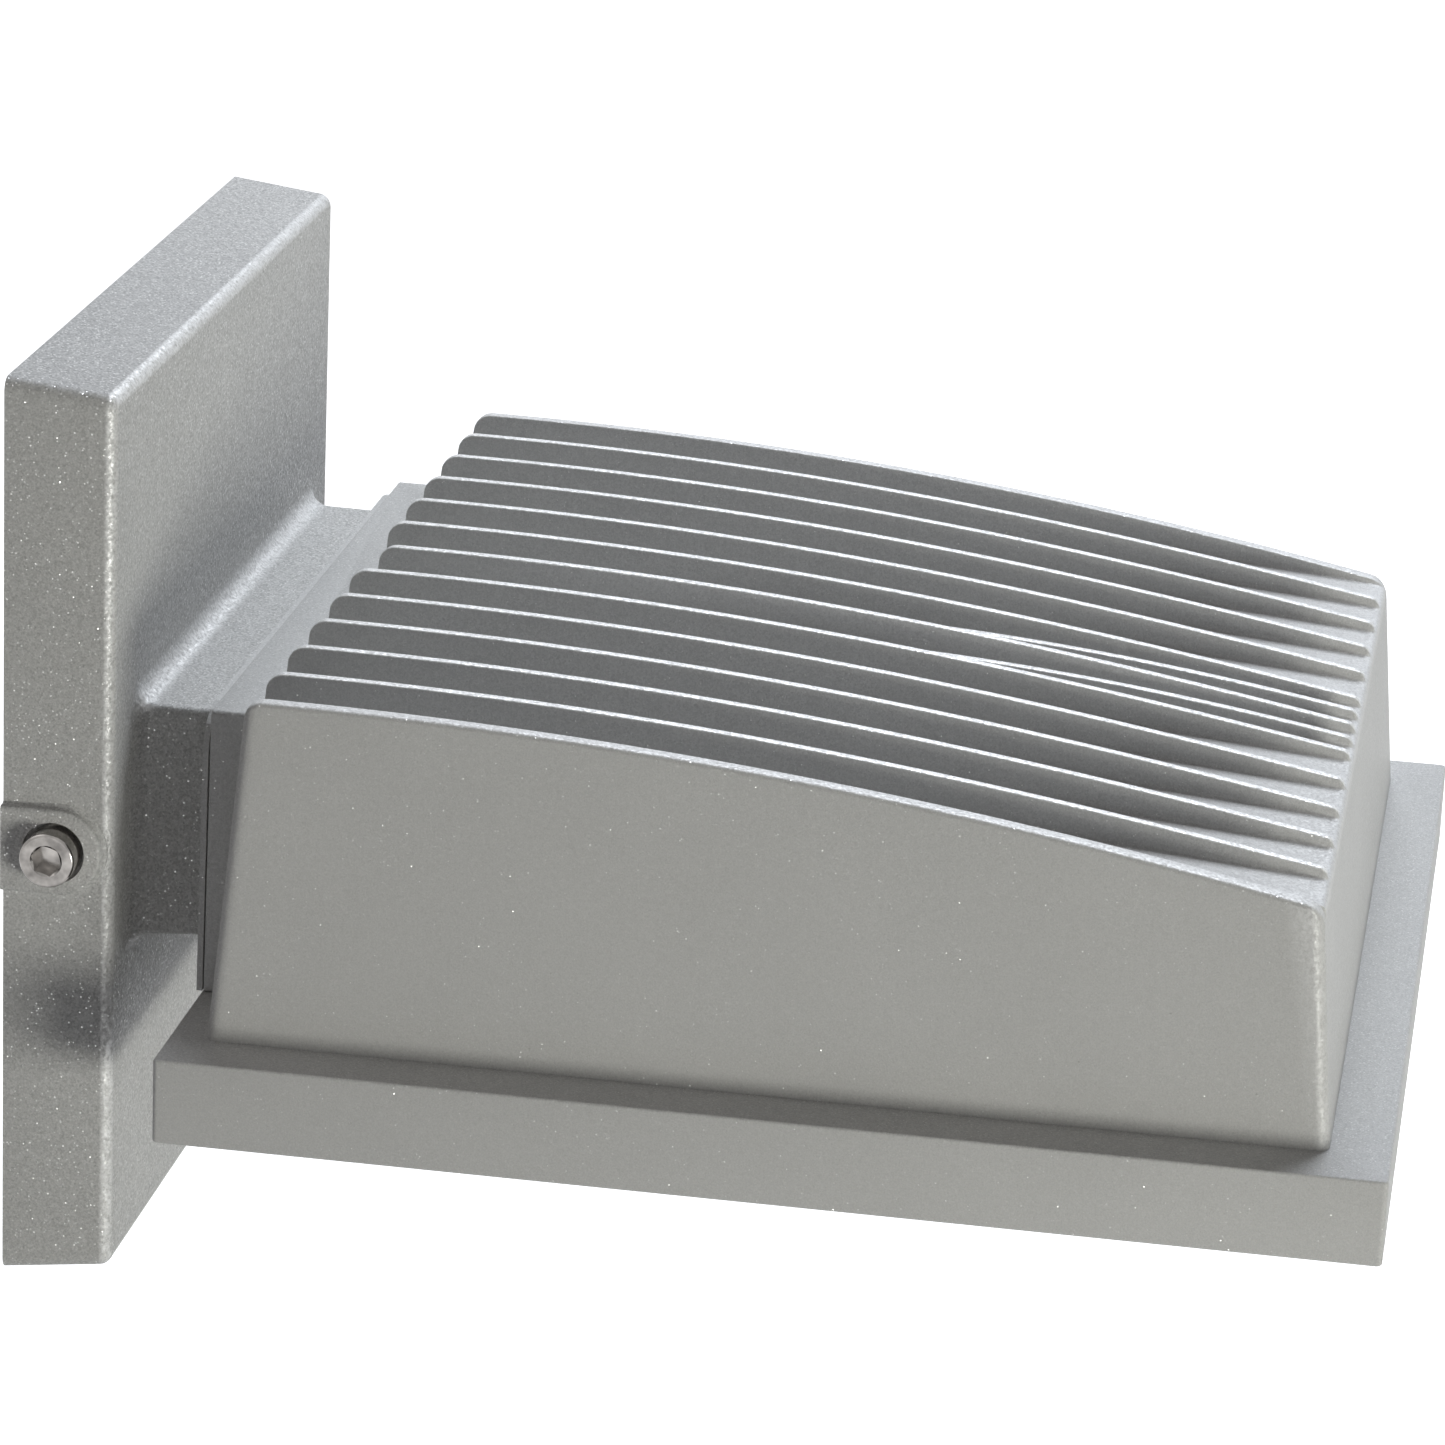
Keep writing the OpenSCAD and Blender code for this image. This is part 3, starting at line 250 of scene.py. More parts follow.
# The coat's roughness, plain and on bright flakes, and its sheen
COAT_ROUGH = 0.46
SPARK_ROUGH = 0.28
COAT_SPECULAR = 0.05

# Bright flakes, and the painted highlight on edges and lit faces: their colour, and how metallic they
# look
SPARK_COLOUR = (0.86, 0.86, 0.84)
SPARK_METAL = 0.55
HIGHLIGHT_COLOUR = (0.90, 0.90, 0.89)
HIGHLIGHT_METAL = 0.35

# Point that the lamps aim at, and the floor of the studio: its size, its height, the distance from the
# origin over which it fades to white, and how bright it shows near the object
AIM = (0.0, -120.0, 0.0)
STAGE_HALF = 4000.0
STAGE_Z = -320.0
FADE_NEAR = 350.0
FADE_FAR = 650.0
NEAR_GLOW = 0.72


# Geometry helpers

def edge_drop(d, r):
    """How far a shape draws in at distance d from an edge that is rounded by radius r."""
    return 0.0 if d >= r else r - math.sqrt(r * r - (r - d) ** 2)


def round_outline(low_half, high_half, low, high, r, n=ARC_N):
    """Rectangle with round corners, counter-clockwise."""
    points = []
    for corner in range(4):
        side = 1 if corner < 2 else -1
        up = corner in (1, 2)
        cx = side * ((high_half if up else low_half) - r)
        cz = high - r if up else low + r
        for k in range(n + 1):
            a = math.radians(90 * (corner - 1 + k / n))
            points.append((cx + r * math.cos(a), cz + r * math.sin(a)))
    return points


def rect_outline(half_x, half_y, r, n=ARC_N):
    return round_outline(half_x, half_x, -half_y, half_y, r, n)


def mesh_piece(name, points, faces):
    """New object from points in millimetres."""
    mesh = bpy.data.meshes.new(name)
    mesh.from_pydata([(p[0] * MM, p[1] * MM, p[2] * MM) for p in points], [], faces)
    mesh.update()
    piece = bpy.data.objects.new(name, mesh)
    bpy.context.scene.collection.objects.link(piece)
    return piece


def loft(name, rings, closed_ends=True):
    """Skin through rings of equal point count."""
    n = len(rings[0])
    points = [p for ring in rings for p in ring]
    faces = []
    for j in range(len(rings) - 1):
        for i in range(n):
            a = j * n + i
            b = j * n + (i + 1) % n
            faces.append((a, b, b + n, a + n))
    if closed_ends:
        last = (len(rings) - 1) * n
        faces.append(tuple(range(n - 1, -1, -1)))
        faces.append(tuple(last + i for i in range(n)))
    return mesh_piece(name, points, faces)


def outward(piece):
    """Makes every normal point out of the solid."""
    bm = bmesh.new()
    bm.from_mesh(piece.data)
    bmesh.ops.recalc_face_normals(bm, faces=bm.faces)
    bm.to_mesh(piece.data)
    bm.free()
    return piece


def prism_y(name, outline, y0, y1):
    """Outline in X and Z, drawn from y0 to y1."""
    return outward(loft(name, [[(x, y, z) for x, z in outline] for y in (y0, y1)]))


def prism_z(name, outline, centre_y, z0, z1):
    """Outline in X and Y round centre_y, drawn from z0 to z1."""
    return outward(loft(name, [[(x, y + centre_y, z) for x, y in outline] for z in (z0, z1)]))


def prism_x(name, outline, x0, x1):
    """Outline in Y and Z, drawn from x0 to x1."""
    return outward(loft(name, [[(x, y, z) for y, z in outline] for x in (x0, x1)]))


def circle(cx, cy, d, n=ROUND_N):
    return [(cx + d / 2 * math.cos(2 * math.pi * k / n), cy + d / 2 * math.sin(2 * math.pi * k / n))
            for k in range(n)]


def combine(piece, tool, how):
    """Cuts tool from piece, or joins it to piece, and removes tool."""
    modifier = piece.modifiers.new("combine", "BOOLEAN")
    modifier.operation = how
    modifier.solver = "EXACT"
    modifier.object = tool
    graph = bpy.context.evaluated_depsgraph_get()
    mesh = bpy.data.meshes.new_from_object(piece.evaluated_get(graph))
    piece.modifiers.clear()
    old = piece.data
    piece.data = mesh
    mesh.name = piece.name
    bpy.data.meshes.remove(old)
    bpy.data.meshes.remove(tool.data)
    return piece


def cut(piece, tool):
    return combine(piece, tool, "DIFFERENCE")


def join(piece, tool):
    return combine(piece, tool, "UNION")


def dress(piece, material, node, angle=SHARP_ANGLE):
    """Shading, material and place of a piece that stands for a node."""
    mesh = piece.data
    for polygon in mesh.polygons:
        polygon.use_smooth = True
    mesh.set_sharp_from_angle(angle=math.radians(angle))
    mesh.materials.clear()
    mesh.materials.append(material)
    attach(piece, ROOT)
    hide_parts(node)
    return piece


def edge_highlight_weight(d, r):
    """Weight of the painted highlight at distance d behind a face whose edge is rounded by radius r: 1
    halfway round the edge.
    """
    if not 0.0 < d < r:
        return 0.0
    return math.sqrt(math.sin(2 * math.acos(1.0 - d / r)))


def paint_highlight(piece, weight):
    """Stores on each point how much its coat is painted bright as a highlight, from weight(x, y, z) in
    millimetres.
    """
    mesh = piece.data
    painted_highlight = mesh.attributes.new("painted_highlight", "FLOAT", "POINT")
    for vertex, value in zip(mesh.vertices, painted_highlight.data):
        value.value = weight(*(c / MM for c in vertex.co))


# Node helpers for materials

class Nodes:
    """Short calls for building the node tree of a material or a world."""

    def __init__(self, owner, output="ShaderNodeOutputMaterial"):
        owner.use_nodes = True
        self.owner = owner
        self.tree = owner.node_tree
        self.tree.nodes.clear()
        self.output = self.tree.nodes.new(output)

    def new(self, kind, inputs=None, **settings):
        node = self.tree.nodes.new(kind)
        for key, value in settings.items():
            setattr(node, key, value)
        for key, value in (inputs or {}).items():
            if isinstance(value, bpy.types.NodeSocket):
                self.tree.links.new(value, node.inputs[key])
            else:
                node.inputs[key].default_value = value
        return node

    def place(self):
        return self.new("ShaderNodeTexCoord").outputs["Object"]

    def turned(self, where, rotation=(0.0, 0.0, 0.0), scale=(1.0, 1.0, 1.0)):
        inputs = {"Vector": where, "Rotation": rotation, "Scale": scale}
        return self.new("ShaderNodeMapping", inputs).outputs["Vector"]

    def noise(self, scale, detail=2.0, roughness=0.5, where=None):
        inputs = {"Vector": where or self.place(), "Scale": scale, "Detail": detail,
                  "Roughness": roughness}
        return self.new("ShaderNodeTexNoise", inputs).outputs["Fac"]

    def cells(self, scale, where=None):
        return self.new("ShaderNodeTexVoronoi", {"Vector": where or self.place(), "Scale": scale})

    def ramp(self, factor, stops):
        node = self.new("ShaderNodeValToRGB", {"Fac": factor})
        ramp = node.color_ramp
        for element, (position, value) in zip(ramp.elements, stops):
            element.position = position
            element.color = (value, value, value, 1.0)
        return node.outputs["Color"]

    def math(self, operation, a, b):
        return self.new("ShaderNodeMath", {0: a, 1: b}, operation=operation).outputs[0]

    def vector(self, operation, a, b):
        return self.new("ShaderNodeVectorMath", {0: a, 1: b}, operation=operation).outputs["Vector"]

    def scaled(self, a, factor):
        inputs = {0: a, "Scale": factor}
        return self.new("ShaderNodeVectorMath", inputs, operation="SCALE").outputs["Vector"]

    def span(self, value, low, high, to_low, to_high):
        inputs = {"Value": value, "From Min": low, "From Max": high, "To Min": to_low, "To Max": to_high}
        return self.new("ShaderNodeMapRange", inputs).outputs["Result"]

    def blend(self, factor, a, colour):
        """Mixes a towards a plain colour."""
        node = self.new("ShaderNodeMix", data_type="RGBA", blend_type="MIX")
        self.tree.links.new(factor, node.inputs[0])
        self.tree.links.new(a, node.inputs[6])
        node.inputs[7].default_value = (*colour, 1.0)
        return node.outputs[2]

    def bump(self, height, distance):
        return self.new("ShaderNodeBump", {"Height": height, "Distance": distance}).outputs["Normal"]

    def show(self, shader):
        self.tree.links.new(shader, self.output.inputs["Surface"])
        return self.owner

    def finish(self, inputs):
        return self.show(self.new("ShaderNodeBsdfPrincipled", inputs).outputs["BSDF"])


def new_material(name):
    return Nodes(bpy.data.materials.new(name))


def powder_coat(name, tint, flake, share, grain, peel_depth):
    """Silver powder coat: a grain of small tilted flakes, some of them bright, and a slight orange peel.

    The grain is painted stronger, and bright flakes are painted more often, on faces that look up:
    painted glints of the light from above on a real flake grain. Where the stored point attribute asks
    for it, the coat is painted lighter and more metallic in speckled patches: a painted highlight on
    edges and lit faces.
    """
    t = new_material(name)
    where = t.turned(t.place(), rotation=FLAKE_TURN)
    facing = t.new("ShaderNodeNewGeometry").outputs["Normal"]
    height = t.new("ShaderNodeSeparateXYZ", {"Vector": facing}).outputs["Z"]
    cell = t.cells(1.0 / (flake * MM), where)
    parts = t.new("ShaderNodeSeparateColor", {"Color": cell.outputs["Color"]}).outputs

    # More bright flakes on faces that look up: painted glints of the light from above
    chance = t.math("ADD", parts[0], t.span(height, UP_LOW, UP_HIGH, 0.0, UP_GLINT_SPARKS))
    core = t.ramp(cell.outputs["Distance"], [(0.22, 1.0), (0.50, 0.0)])
    spark = t.math("MULTIPLY", t.ramp(chance, [(1.0 - share, 0.0), (1.0 - share * 0.5, 1.0)]), core)

    fine = t.noise(1.0 / (0.9 * flake * MM), 2.0, 0.7, where)
    broad = t.noise(38.0, 3.0, 0.5, where)
    speckle = t.math("ADD", t.span(parts[1], 0.0, 1.0, -1.0, 1.0), t.span(fine, 0.3, 0.7, -1.0, 1.0))
    # Stronger grain on faces that look up: painted glints of the light from above
    swing = t.span(height, UP_LOW, UP_HIGH, grain, grain * UP_GLINT_GRAIN)
    level = t.math("ADD", t.math("MULTIPLY", speckle, swing), t.span(broad, 0.3, 0.7, 0.985, 1.015))
    base = t.blend(spark, t.scaled(tint, level), SPARK_COLOUR)

    # Painted highlight: where the stored point attribute asks for it, the coat turns lighter and more
    # metallic in speckled patches
    stored_highlight = t.new("ShaderNodeAttribute", attribute_name="painted_highlight").outputs["Fac"]
    patches = t.span(t.noise(1.0 / (2.0 * flake * MM), 3.0, 0.7, where), 0.38, 0.62, 0.2, 1.0)
    painted_highlight = t.math("MULTIPLY", stored_highlight, patches)
    base = t.blend(painted_highlight, base, HIGHLIGHT_COLOUR)
    metal = t.math("MAXIMUM", t.math("MULTIPLY", spark, SPARK_METAL),
                   t.math("MULTIPLY", painted_highlight, HIGHLIGHT_METAL))

    peel = t.bump(t.noise(900.0, 2.0, 0.5, where), peel_depth)
    tilt = t.vector("SUBTRACT", cell.outputs["Color"], (0.5, 0.5, 0.5))
    tilt = t.scaled(tilt, t.span(spark, 0.0, 1.0, FLAKE_TILT, SPARK_TILT))
    normal = t.vector("ADD", peel, tilt)
    normal = t.new("ShaderNodeVectorMath", {0: normal}, operation="NORMALIZE").outputs["Vector"]
    return t.finish({"Base Color": base, "Metallic": metal,
                     "Roughness": t.span(metal, 0.0, SPARK_METAL, COAT_ROUGH, SPARK_ROUGH),
                     "Specular IOR Level": COAT_SPECULAR, "Normal": normal})


def plain_metal(name, colour, roughness, patch_tone_and_reflection=0.06, metallic=1.0, patch=160.0):
    """Bare or plated metal with fine drawn lines and patches of lighter and darker colour; strong patches
    paint a reflection.
    """
    t = new_material(name)
    where = t.place()
    lines = t.noise(900.0, 3.0, 0.6, t.turned(where, scale=(1.0, 1.0, 14.0)))
    patches = t.noise(patch, 2.0, 0.5, where)
    base = t.scaled(colour, t.span(patches, 0.3, 0.7, 1.0 - patch_tone_and_reflection, 1.0 + patch_tone_and_reflection))
    rough = t.span(lines, 0.3, 0.7, roughness * 0.8, roughness * 1.25)
    return t.finish({"Base Color": base, "Metallic": metallic, "Roughness": rough,
                     "Normal": t.bump(lines, 0.000006)})


def moulded(name, colour, roughness, grain=0.05, depth=0.00002):
    """Moulded plastic, rubber or paint with a fine grain."""
    t = new_material(name)
    where = t.place()
    fine = t.noise(900.0, 3.0, 0.6, where)
    broad = t.noise(60.0, 2.0, 0.5, where)
    level = t.math("MULTIPLY", t.span(fine, 0.3, 0.7, 1.0 - grain, 1.0 + grain),
                   t.span(broad, 0.3, 0.7, 1.0 - grain / 2, 1.0 + grain / 2))
    rough = t.span(fine, 0.3, 0.7, roughness * 0.9, roughness * 1.1)
    return t.finish({"Base Color": t.scaled(colour, level), "Roughness": rough,
                     "Normal": t.bump(fine, depth)})


def clear_glass(name):
    """Toughened lens glass with a faint green body and a trace of dust."""
    t = new_material(name)
    dust = t.noise(420.0, 3.0, 0.6)
    rough = t.span(dust, 0.45, 0.8, 0.0, 0.06)
    return t.finish({"Base Color": (0.93, 0.98, 0.96, 1.0), "Roughness": rough,
                     "Transmission Weight": 1.0, "IOR": 1.5})


# Surfaces of the pieces

def box_section(depth):
    """Outline of the wall box at a distance from the wall."""
    f = depth / BOX_DEPTH
    drop = edge_drop(BOX_DEPTH - depth, BOX_EDGE_R)
    half_x = BOX_HALF - BOX_DRAFT_X * f - drop
    half_z = BOX_HALF - BOX_DRAFT_Z * f - drop
    corner_r = max(BOX_CORNER_R - drop, BOX_LEAST_CORNER_R)
    return [(x, -depth, z) for x, z in rect_outline(half_x, half_z, corner_r)]


def neck_section(depth):
    """Outline of the neck at a distance from the front of the wall box."""
    f = max(depth, 0.0) / (NECK_END - BOX_DEPTH)
    grow = edge_drop(max(depth, 0.0), NECK_FILLET_R)
    outline = round_outline(NECK_HALF_BOTTOM + grow, NECK_HALF_TOP + grow,
                            NECK_BOTTOM + NECK_DRAFT_BOTTOM * f - grow,
                            NECK_TOP - NECK_DRAFT_TOP * f + grow, NECK_EDGE_R + grow)
    return [(x, -BOX_DEPTH - depth, z) for x, z in outline]


def eased(n):
    """Steps from 0 to 1 that crowd towards 0, for rounded edges."""
    return [1.0 - math.cos(math.pi / 2 * k / n) for k in range(n + 1)]


def boss_outline(r):
    """Stadium outline in Y and Z that runs back to the wall."""
    arc = [(BOSS_AXIS_Y - r * math.cos(a), SCREW_Z + r * math.sin(a))
           for a in (math.radians(-90 + 180 * k / BOSS_ARC_N) for k in range(BOSS_ARC_N + 1))]
    return [(0.0, SCREW_Z - r)] + arc + [(0.0, SCREW_Z + r)]


def side_boss(side):
    """Boss on one side of the wall box, with a flared root and a rounded rim."""
    inner = BOX_HALF - BOX_RIM
    face = BOX_HALF - BOX_DRAFT_X / 2
    rings = [(inner, BOSS_R + BOSS_ROOT_R)]
    rings += [(face + BOSS_ROOT_R * t, BOSS_R + BOSS_ROOT_R * BOSS_ROOT_GROWTH * (1 - t) ** 2)
              for t in (0.0, 0.35, 0.7, 1.0)]
    rings += [(BOSS_X - BOSS_EDGE_R * s, BOSS_R - edge_drop(BOSS_EDGE_R * s, BOSS_EDGE_R))
              for s in reversed(eased(5))]
    return outward(loft("side_boss", [[(side * x, y, z) for y, z in boss_outline(r)] for x, r in rings]))


def box_painted_highlight(x, y, z):
    """Painted highlight on the rim round the front of the wall box, and on the fillet above the neck."""
    if max(abs(x), abs(z)) > BOX_HALF - 2 * BOX_EDGE_R:
        return EDGE_HIGHLIGHT * edge_highlight_weight(BOX_DEPTH + y, BOX_EDGE_R)
    if z > NECK_TOP - NECK_EDGE_R:
        return FILLET_HIGHLIGHT * edge_highlight_weight(-BOX_DEPTH - y, NECK_FILLET_R) ** FILLET_HIGHLIGHT_POWER
    return 0.0


def wall_box_casting():
    """Outer form of the wall box, its neck and its side bosses."""
    steps = [BOX_DEPTH - BOX_EDGE_R * s for s in reversed(eased(8))]
    piece = outward(loft("wall_box_casting", [box_section(d) for d in [0.0] + steps]))
    neck_steps = [-NECK_SINK] + [NECK_FILLET_R * s for s in eased(10)] + [NECK_END - BOX_DEPTH]
    join(piece, outward(loft("neck", [neck_section(d) for d in neck_steps])))
    for side in (-1, 1):
        join(piece, side_boss(side))
    return piece


def gasket_groove():
    """Groove in the rim for the wall gasket."""
    half = BOX_HALF - GASKET_GROOVE_EDGE
    core_half = half - GASKET_GROOVE_W
    ring = prism_y("groove", rect_outline(half, half, BOX_CORNER_R), PAST, -GASKET_GROOVE_DEPTH)
    core_outline = rect_outline(core_half, core_half, BOX_CORNER_R)
    core = prism_y("groove_core", core_outline, 2 * PAST, -GASKET_GROOVE_DEPTH - PAST)
    return cut(ring, core)


def make_wall_box(material):
    piece = wall_box_casting()
    cavity = BOX_DEPTH - BOX_FRONT_T
    half_x = BOX_HALF - BOX_RIM
    half_z = half_x - BOX_DRAFT_Z / 2
    cut(piece, prism_y("cavity", rect_outline(half_x, half_z, 2 * BOX_CORNER_R), PAST, -cavity))
    hollow = round_outline(NECK_HALF_BOTTOM - NECK_WALL, NECK_HALF_TOP - NECK_WALL,
                           NECK_BOTTOM + NECK_DRAFT_BOTTOM + NECK_WALL,
                           NECK_TOP - NECK_DRAFT_TOP - NECK_WALL, NECK_EDGE_R)
    cut(piece, prism_y("neck_hollow", hollow, PAST - cavity, NECK_END_T - NECK_END))
    for side in (-1, 1):
        inner = side * (half_x - PAST)
        seat = side * (BOSS_X - CBORE_DEPTH)
        outer = side * (BOSS_X + PAST)
        cut(piece, prism_x("counterbore", circle(SCREW_Y, SCREW_Z, CBORE_D, FINE_N), seat, outer))
        cut(piece, prism_x("screw_hole", circle(SCREW_Y, SCREW_Z, SCREW_HOLE_D), inner, outer))
    inside = PAST - NECK_END + NECK_END_T
    outside = -NECK_END - PAST
    for x in (-NECK_BOLT_X, NECK_BOLT_X):
        for z in (-NECK_BOLT_Z, NECK_BOLT_Z):
            cut(piece, prism_y("bolt_hole", circle(x, z, NECK_BOLT_HOLE_D), inside, outside))
    cut(piece, prism_y("wire_hole", circle(0.0, 0.0, GROMMET_HOLE_D), inside, outside))
    cut(piece, gasket_groove())
    # Painted highlight on the wall box's front rim and the fillet above the neck
    paint_highlight(piece, box_painted_highlight)
    return dress(piece, material, "wall_box")


def rear_y(z):
    return -(HEAD_REAR + (z - HEAD_BASE) * REAR_LEAN)


def front_y(z):
    return -(HEAD_FRONT - (z - HEAD_BASE) * FRONT_LEAN)


def side_x(z):
    return HEAD_HALF - (z - HEAD_BASE) * SIDE_LEAN


FIN_SPAN = rear_y(FIN_PEAK) - front_y(FLOOR_FRONT)
HEAD_TOP_FRONT = HEAD_FRONT - (FLOOR_FRONT - HEAD_BASE) * FRONT_LEAN
FLOOR_RUN = HEAD_TOP_FRONT - BLOCK_REAR
FLOOR_DROP = FLOOR_REAR - FLOOR_FRONT
FLOOR_ARCH_R = (FLOOR_RUN ** 2 + FLOOR_DROP ** 2) / (2 * FLOOR_DROP)


def arch_drop(d, r):
    """How far an arch of radius r has dropped at distance d from its crown."""
    return r - math.sqrt(r * r - d * d)


def floor_height(distance):
    return FLOOR_REAR - arch_drop(distance - BLOCK_REAR, FLOOR_ARCH_R)


def floor_z(d):
    return floor_height(d - rear_y(FIN_PEAK)) - edge_drop(FIN_SPAN - d, FLOOR_EDGE_R)


def fin_top(d):
    arch = FIN_PEAK - arch_drop(d, FIN_ARCH_R)
    return arch - edge_drop(d, FIN_REAR_R) - edge_drop(FIN_SPAN - d, HEAD_FRONT_R)


def inner_top(d):
    """Top of the fins between the outer walls: a little proud at the front, with a blunt tip."""
    arch = FIN_PEAK - arch_drop(d, FIN_ARCH_R) + FIN_LIFT * (d / FIN_SPAN) ** FIN_LIFT_POWER
    tip = max(FIN_SPAN - d - FIN_TIP, 0.0)
    height = (arch - floor_z(d)) * (1.0 - edge_drop(tip, FIN_TIP_LENGTH) / FIN_TIP_LENGTH)
    return floor_z(d) + height - edge_drop(d, FIN_REAR_R)


def short_fin_top(d):
    return inner_top(d) - SHORT_FIN_SINK * (FIN_SPAN - d) ** 2


def fillet_up(half, zf, root_r, width):
    """Points of a root fillet, from the channel floor up to the face of a fin."""
    arc = [math.pi / 2 * k / 4 for k in range(5)]
    return [(half + width * (1 - math.sin(a)), zf + root_r * (1 - math.cos(a))) for a in arc]


def round_over(half, top, top_r, width):
    """Points of a rounded fin top, from the face to the flat."""
    arc = [math.pi / 2 * k / 4 for k in range(5)]
    return [(half - width * (1 - math.cos(a)), top - top_r * (1 - math.sin(a))) for a in arc]


def fin_right(zt, zf, end_drop, back):
    h = max(zt - zf, 0.0)
    top_r = min(FIN_ROUND, FIN_R_SHARE * h)
    root_r = min(FIN_ROOT_R, FIN_R_SHARE * h)
    half = FIN_T / 2 - end_drop
    points = fillet_up(half + FIN_DRAFT, zf, root_r, FIN_ROOT_R)
    points += round_over(half, zf + h, top_r, FIN_ROUND * half)
    return [(x, z, 0.0 if i == 0 else back) for i, (x, z) in enumerate(points)]


def fin_outline(x, zt, zf, end_drop, back):
    right = fin_right(zt, zf, end_drop, back)
    return [(x + px, z, b) for px, z, b in right] + [(x - px, z, b) for px, z, b in reversed(right)]


def wall_outline(d):
    """Outer wall on the +X side: up its outer face, over the top and down to the channel floor."""
    zt = fin_top(d)
    zf = floor_z(d)
    root_r = min(FIN_ROOT_R, FIN_R_SHARE * max(zt - zf, 0.0))
    tuck = edge_drop(min(d, FIN_SPAN - d), HEAD_CORNER_R)
    outer = side_x(zt) - tuck
    inner = side_x(FIN_PEAK) - OUTER_FIN_T
    points = [(side_x(HEAD_BASE) - tuck, HEAD_BASE)]
    points += round_over(outer, zt, OUTER_ROUND, OUTER_ROUND)
    inside = fillet_up(inner + FIN_DRAFT, zf, root_r, FIN_ROOT_R)
    inside += round_over(inner, zt, FIN_ROUND, FIN_ROUND)
    points += [(2 * inner - x, z) for x, z in reversed(inside)]
    return [(x, z, 0.0) for x, z in points]


def head_section(d):
    wall = wall_outline(d)
    end_drop = edge_drop(d, FIN_END_R) + edge_drop(max(FIN_SPAN - d - FIN_TIP, 0.0), FIN_TIP_R)
    points = list(wall)
    for i in range(FINS_INSIDE, -FINS_INSIDE - 1, -1):
        if i == 0:
            places = ((0.5, short_fin_top), (0.0, inner_top), (-0.5, short_fin_top))
        else:
            places = ((float(i), inner_top),)
        for place, top in places:
            back = MID_FIN_SETBACK if place == 0.0 else 0.0
            points += fin_outline(place * FIN_PITCH, top(d), floor_z(d), end_drop, back)
    return points + [(-x, z, b) for x, z, b in reversed(wall)]


def head_ring(d):
    s = d / FIN_SPAN
    return [(x, (1 - s) * (rear_y(z) - b) + s * front_y(z), z) for x, z, b in head_section(d)]


def head_sections():
    rear = [FIN_REAR_R * s for s in eased(FIN_REAR_STEPS)]
    span = FIN_SPAN - FIN_REAR_R - HEAD_FRONT_R
    middle = [FIN_REAR_R + span * k / FIN_MIDDLE_STEPS for k in range(1, FIN_MIDDLE_STEPS)]
    front = [FIN_SPAN - HEAD_FRONT_R * s for s in reversed(eased(FIN_FRONT_STEPS))]
    return rear + middle + front


def rear_block():
    """Solid block behind the fins, which the neck is bolted to; it sinks into the head at the front."""
    rings = []
    places = [(BLOCK_REAR + y, dip) for y, dip in BLOCK_REAR_EDGE]
    places += [(-rear_y(FLOOR_REAR), 0.0), (BLOCK_FRONT + PAST, FIN_ROOT_R)]
    for y, dip in places:
        outline = round_outline(BLOCK_HALF_BOTTOM - dip, BLOCK_HALF_TOP - dip, HEAD_BASE,
                                floor_height(y) - dip, BLOCK_CORNER_R)
        rings.append([(x, -y, z) for x, z in outline])
    return outward(loft("rear_block", rings))


def roof_z(distance):
    return floor_height(distance) - ROOF_T


def post_outline(side, y):
    """Boss for a frame screw, run out to the side wall."""
    arc = [math.radians(90 + 180 * k / POST_ARC_N) for k in range(POST_ARC_N + 1)]
    wall = HEAD_HALF - HEAD_WALL / 2
    points = [(wall, -POST_D / 2), (wall, POST_D / 2)]
    points += [(POST_X + POST_D / 2 * math.cos(a), POST_D / 2 * math.sin(a)) for a in arc]
    return [(side * x, py + y) for x, py in points]


def side_rect(y0, y1, z0, z1):
    """Rectangle in Y and Z."""
    return [(y0, z0), (y0, z1), (y1, z1), (y1, z0)]


def head_hollow():
    """Inside of the head, with the block, the board pad and the posts left standing."""
    low = HEAD_BASE - PAST
    deep = HEAD_BASE - 3 * PAST
    rear_low = HEAD_REAR + HEAD_WALL
    front_low = HEAD_FRONT - HEAD_WALL
    rear_high = rear_low + (roof_z(rear_low) - HEAD_BASE) * REAR_LEAN
    front_high = front_low - (roof_z(front_low) - HEAD_BASE) * FRONT_LEAN
    roof = [rear_high + (front_high - rear_high) * k / ROOF_STEPS for k in range(ROOF_STEPS + 1)]
    outline = [(-rear_low, low)] + [(-y, roof_z(y)) for y in roof] + [(-front_low, low)]
    half = side_x(FLOOR_REAR) - HEAD_WALL
    hollow = prism_x("hollow", outline, -half, half)
    block = side_rect(PAST, -BLOCK_FRONT, deep, ABOVE)
    cut(hollow, prism_x("block_zone", block, -BLOCK_HALF_BOTTOM, BLOCK_HALF_BOTTOM))
    pad = side_rect(WINDOW_Y + PAD_HALF_Y, WINDOW_Y - PAD_HALF_Y, PAD_Z, ABOVE)
    cut(hollow, prism_x("pad", pad, -PAD_HALF_X, PAD_HALF_X))
    for side in (-1, 1):
        for y in POST_PLACES:
            cut(hollow, prism_z("post", post_outline(side, y), 0.0, deep, HEAD_BASE + POST_H))
    for x in (-DRIVER_POST_X, DRIVER_POST_X):
        post = circle(x, 0.0, DRIVER_POST_D)
        cut(hollow, prism_z("driver_post", post, DRIVER_POST_Y, DRIVER_POST_Z, ABOVE))
    return hollow


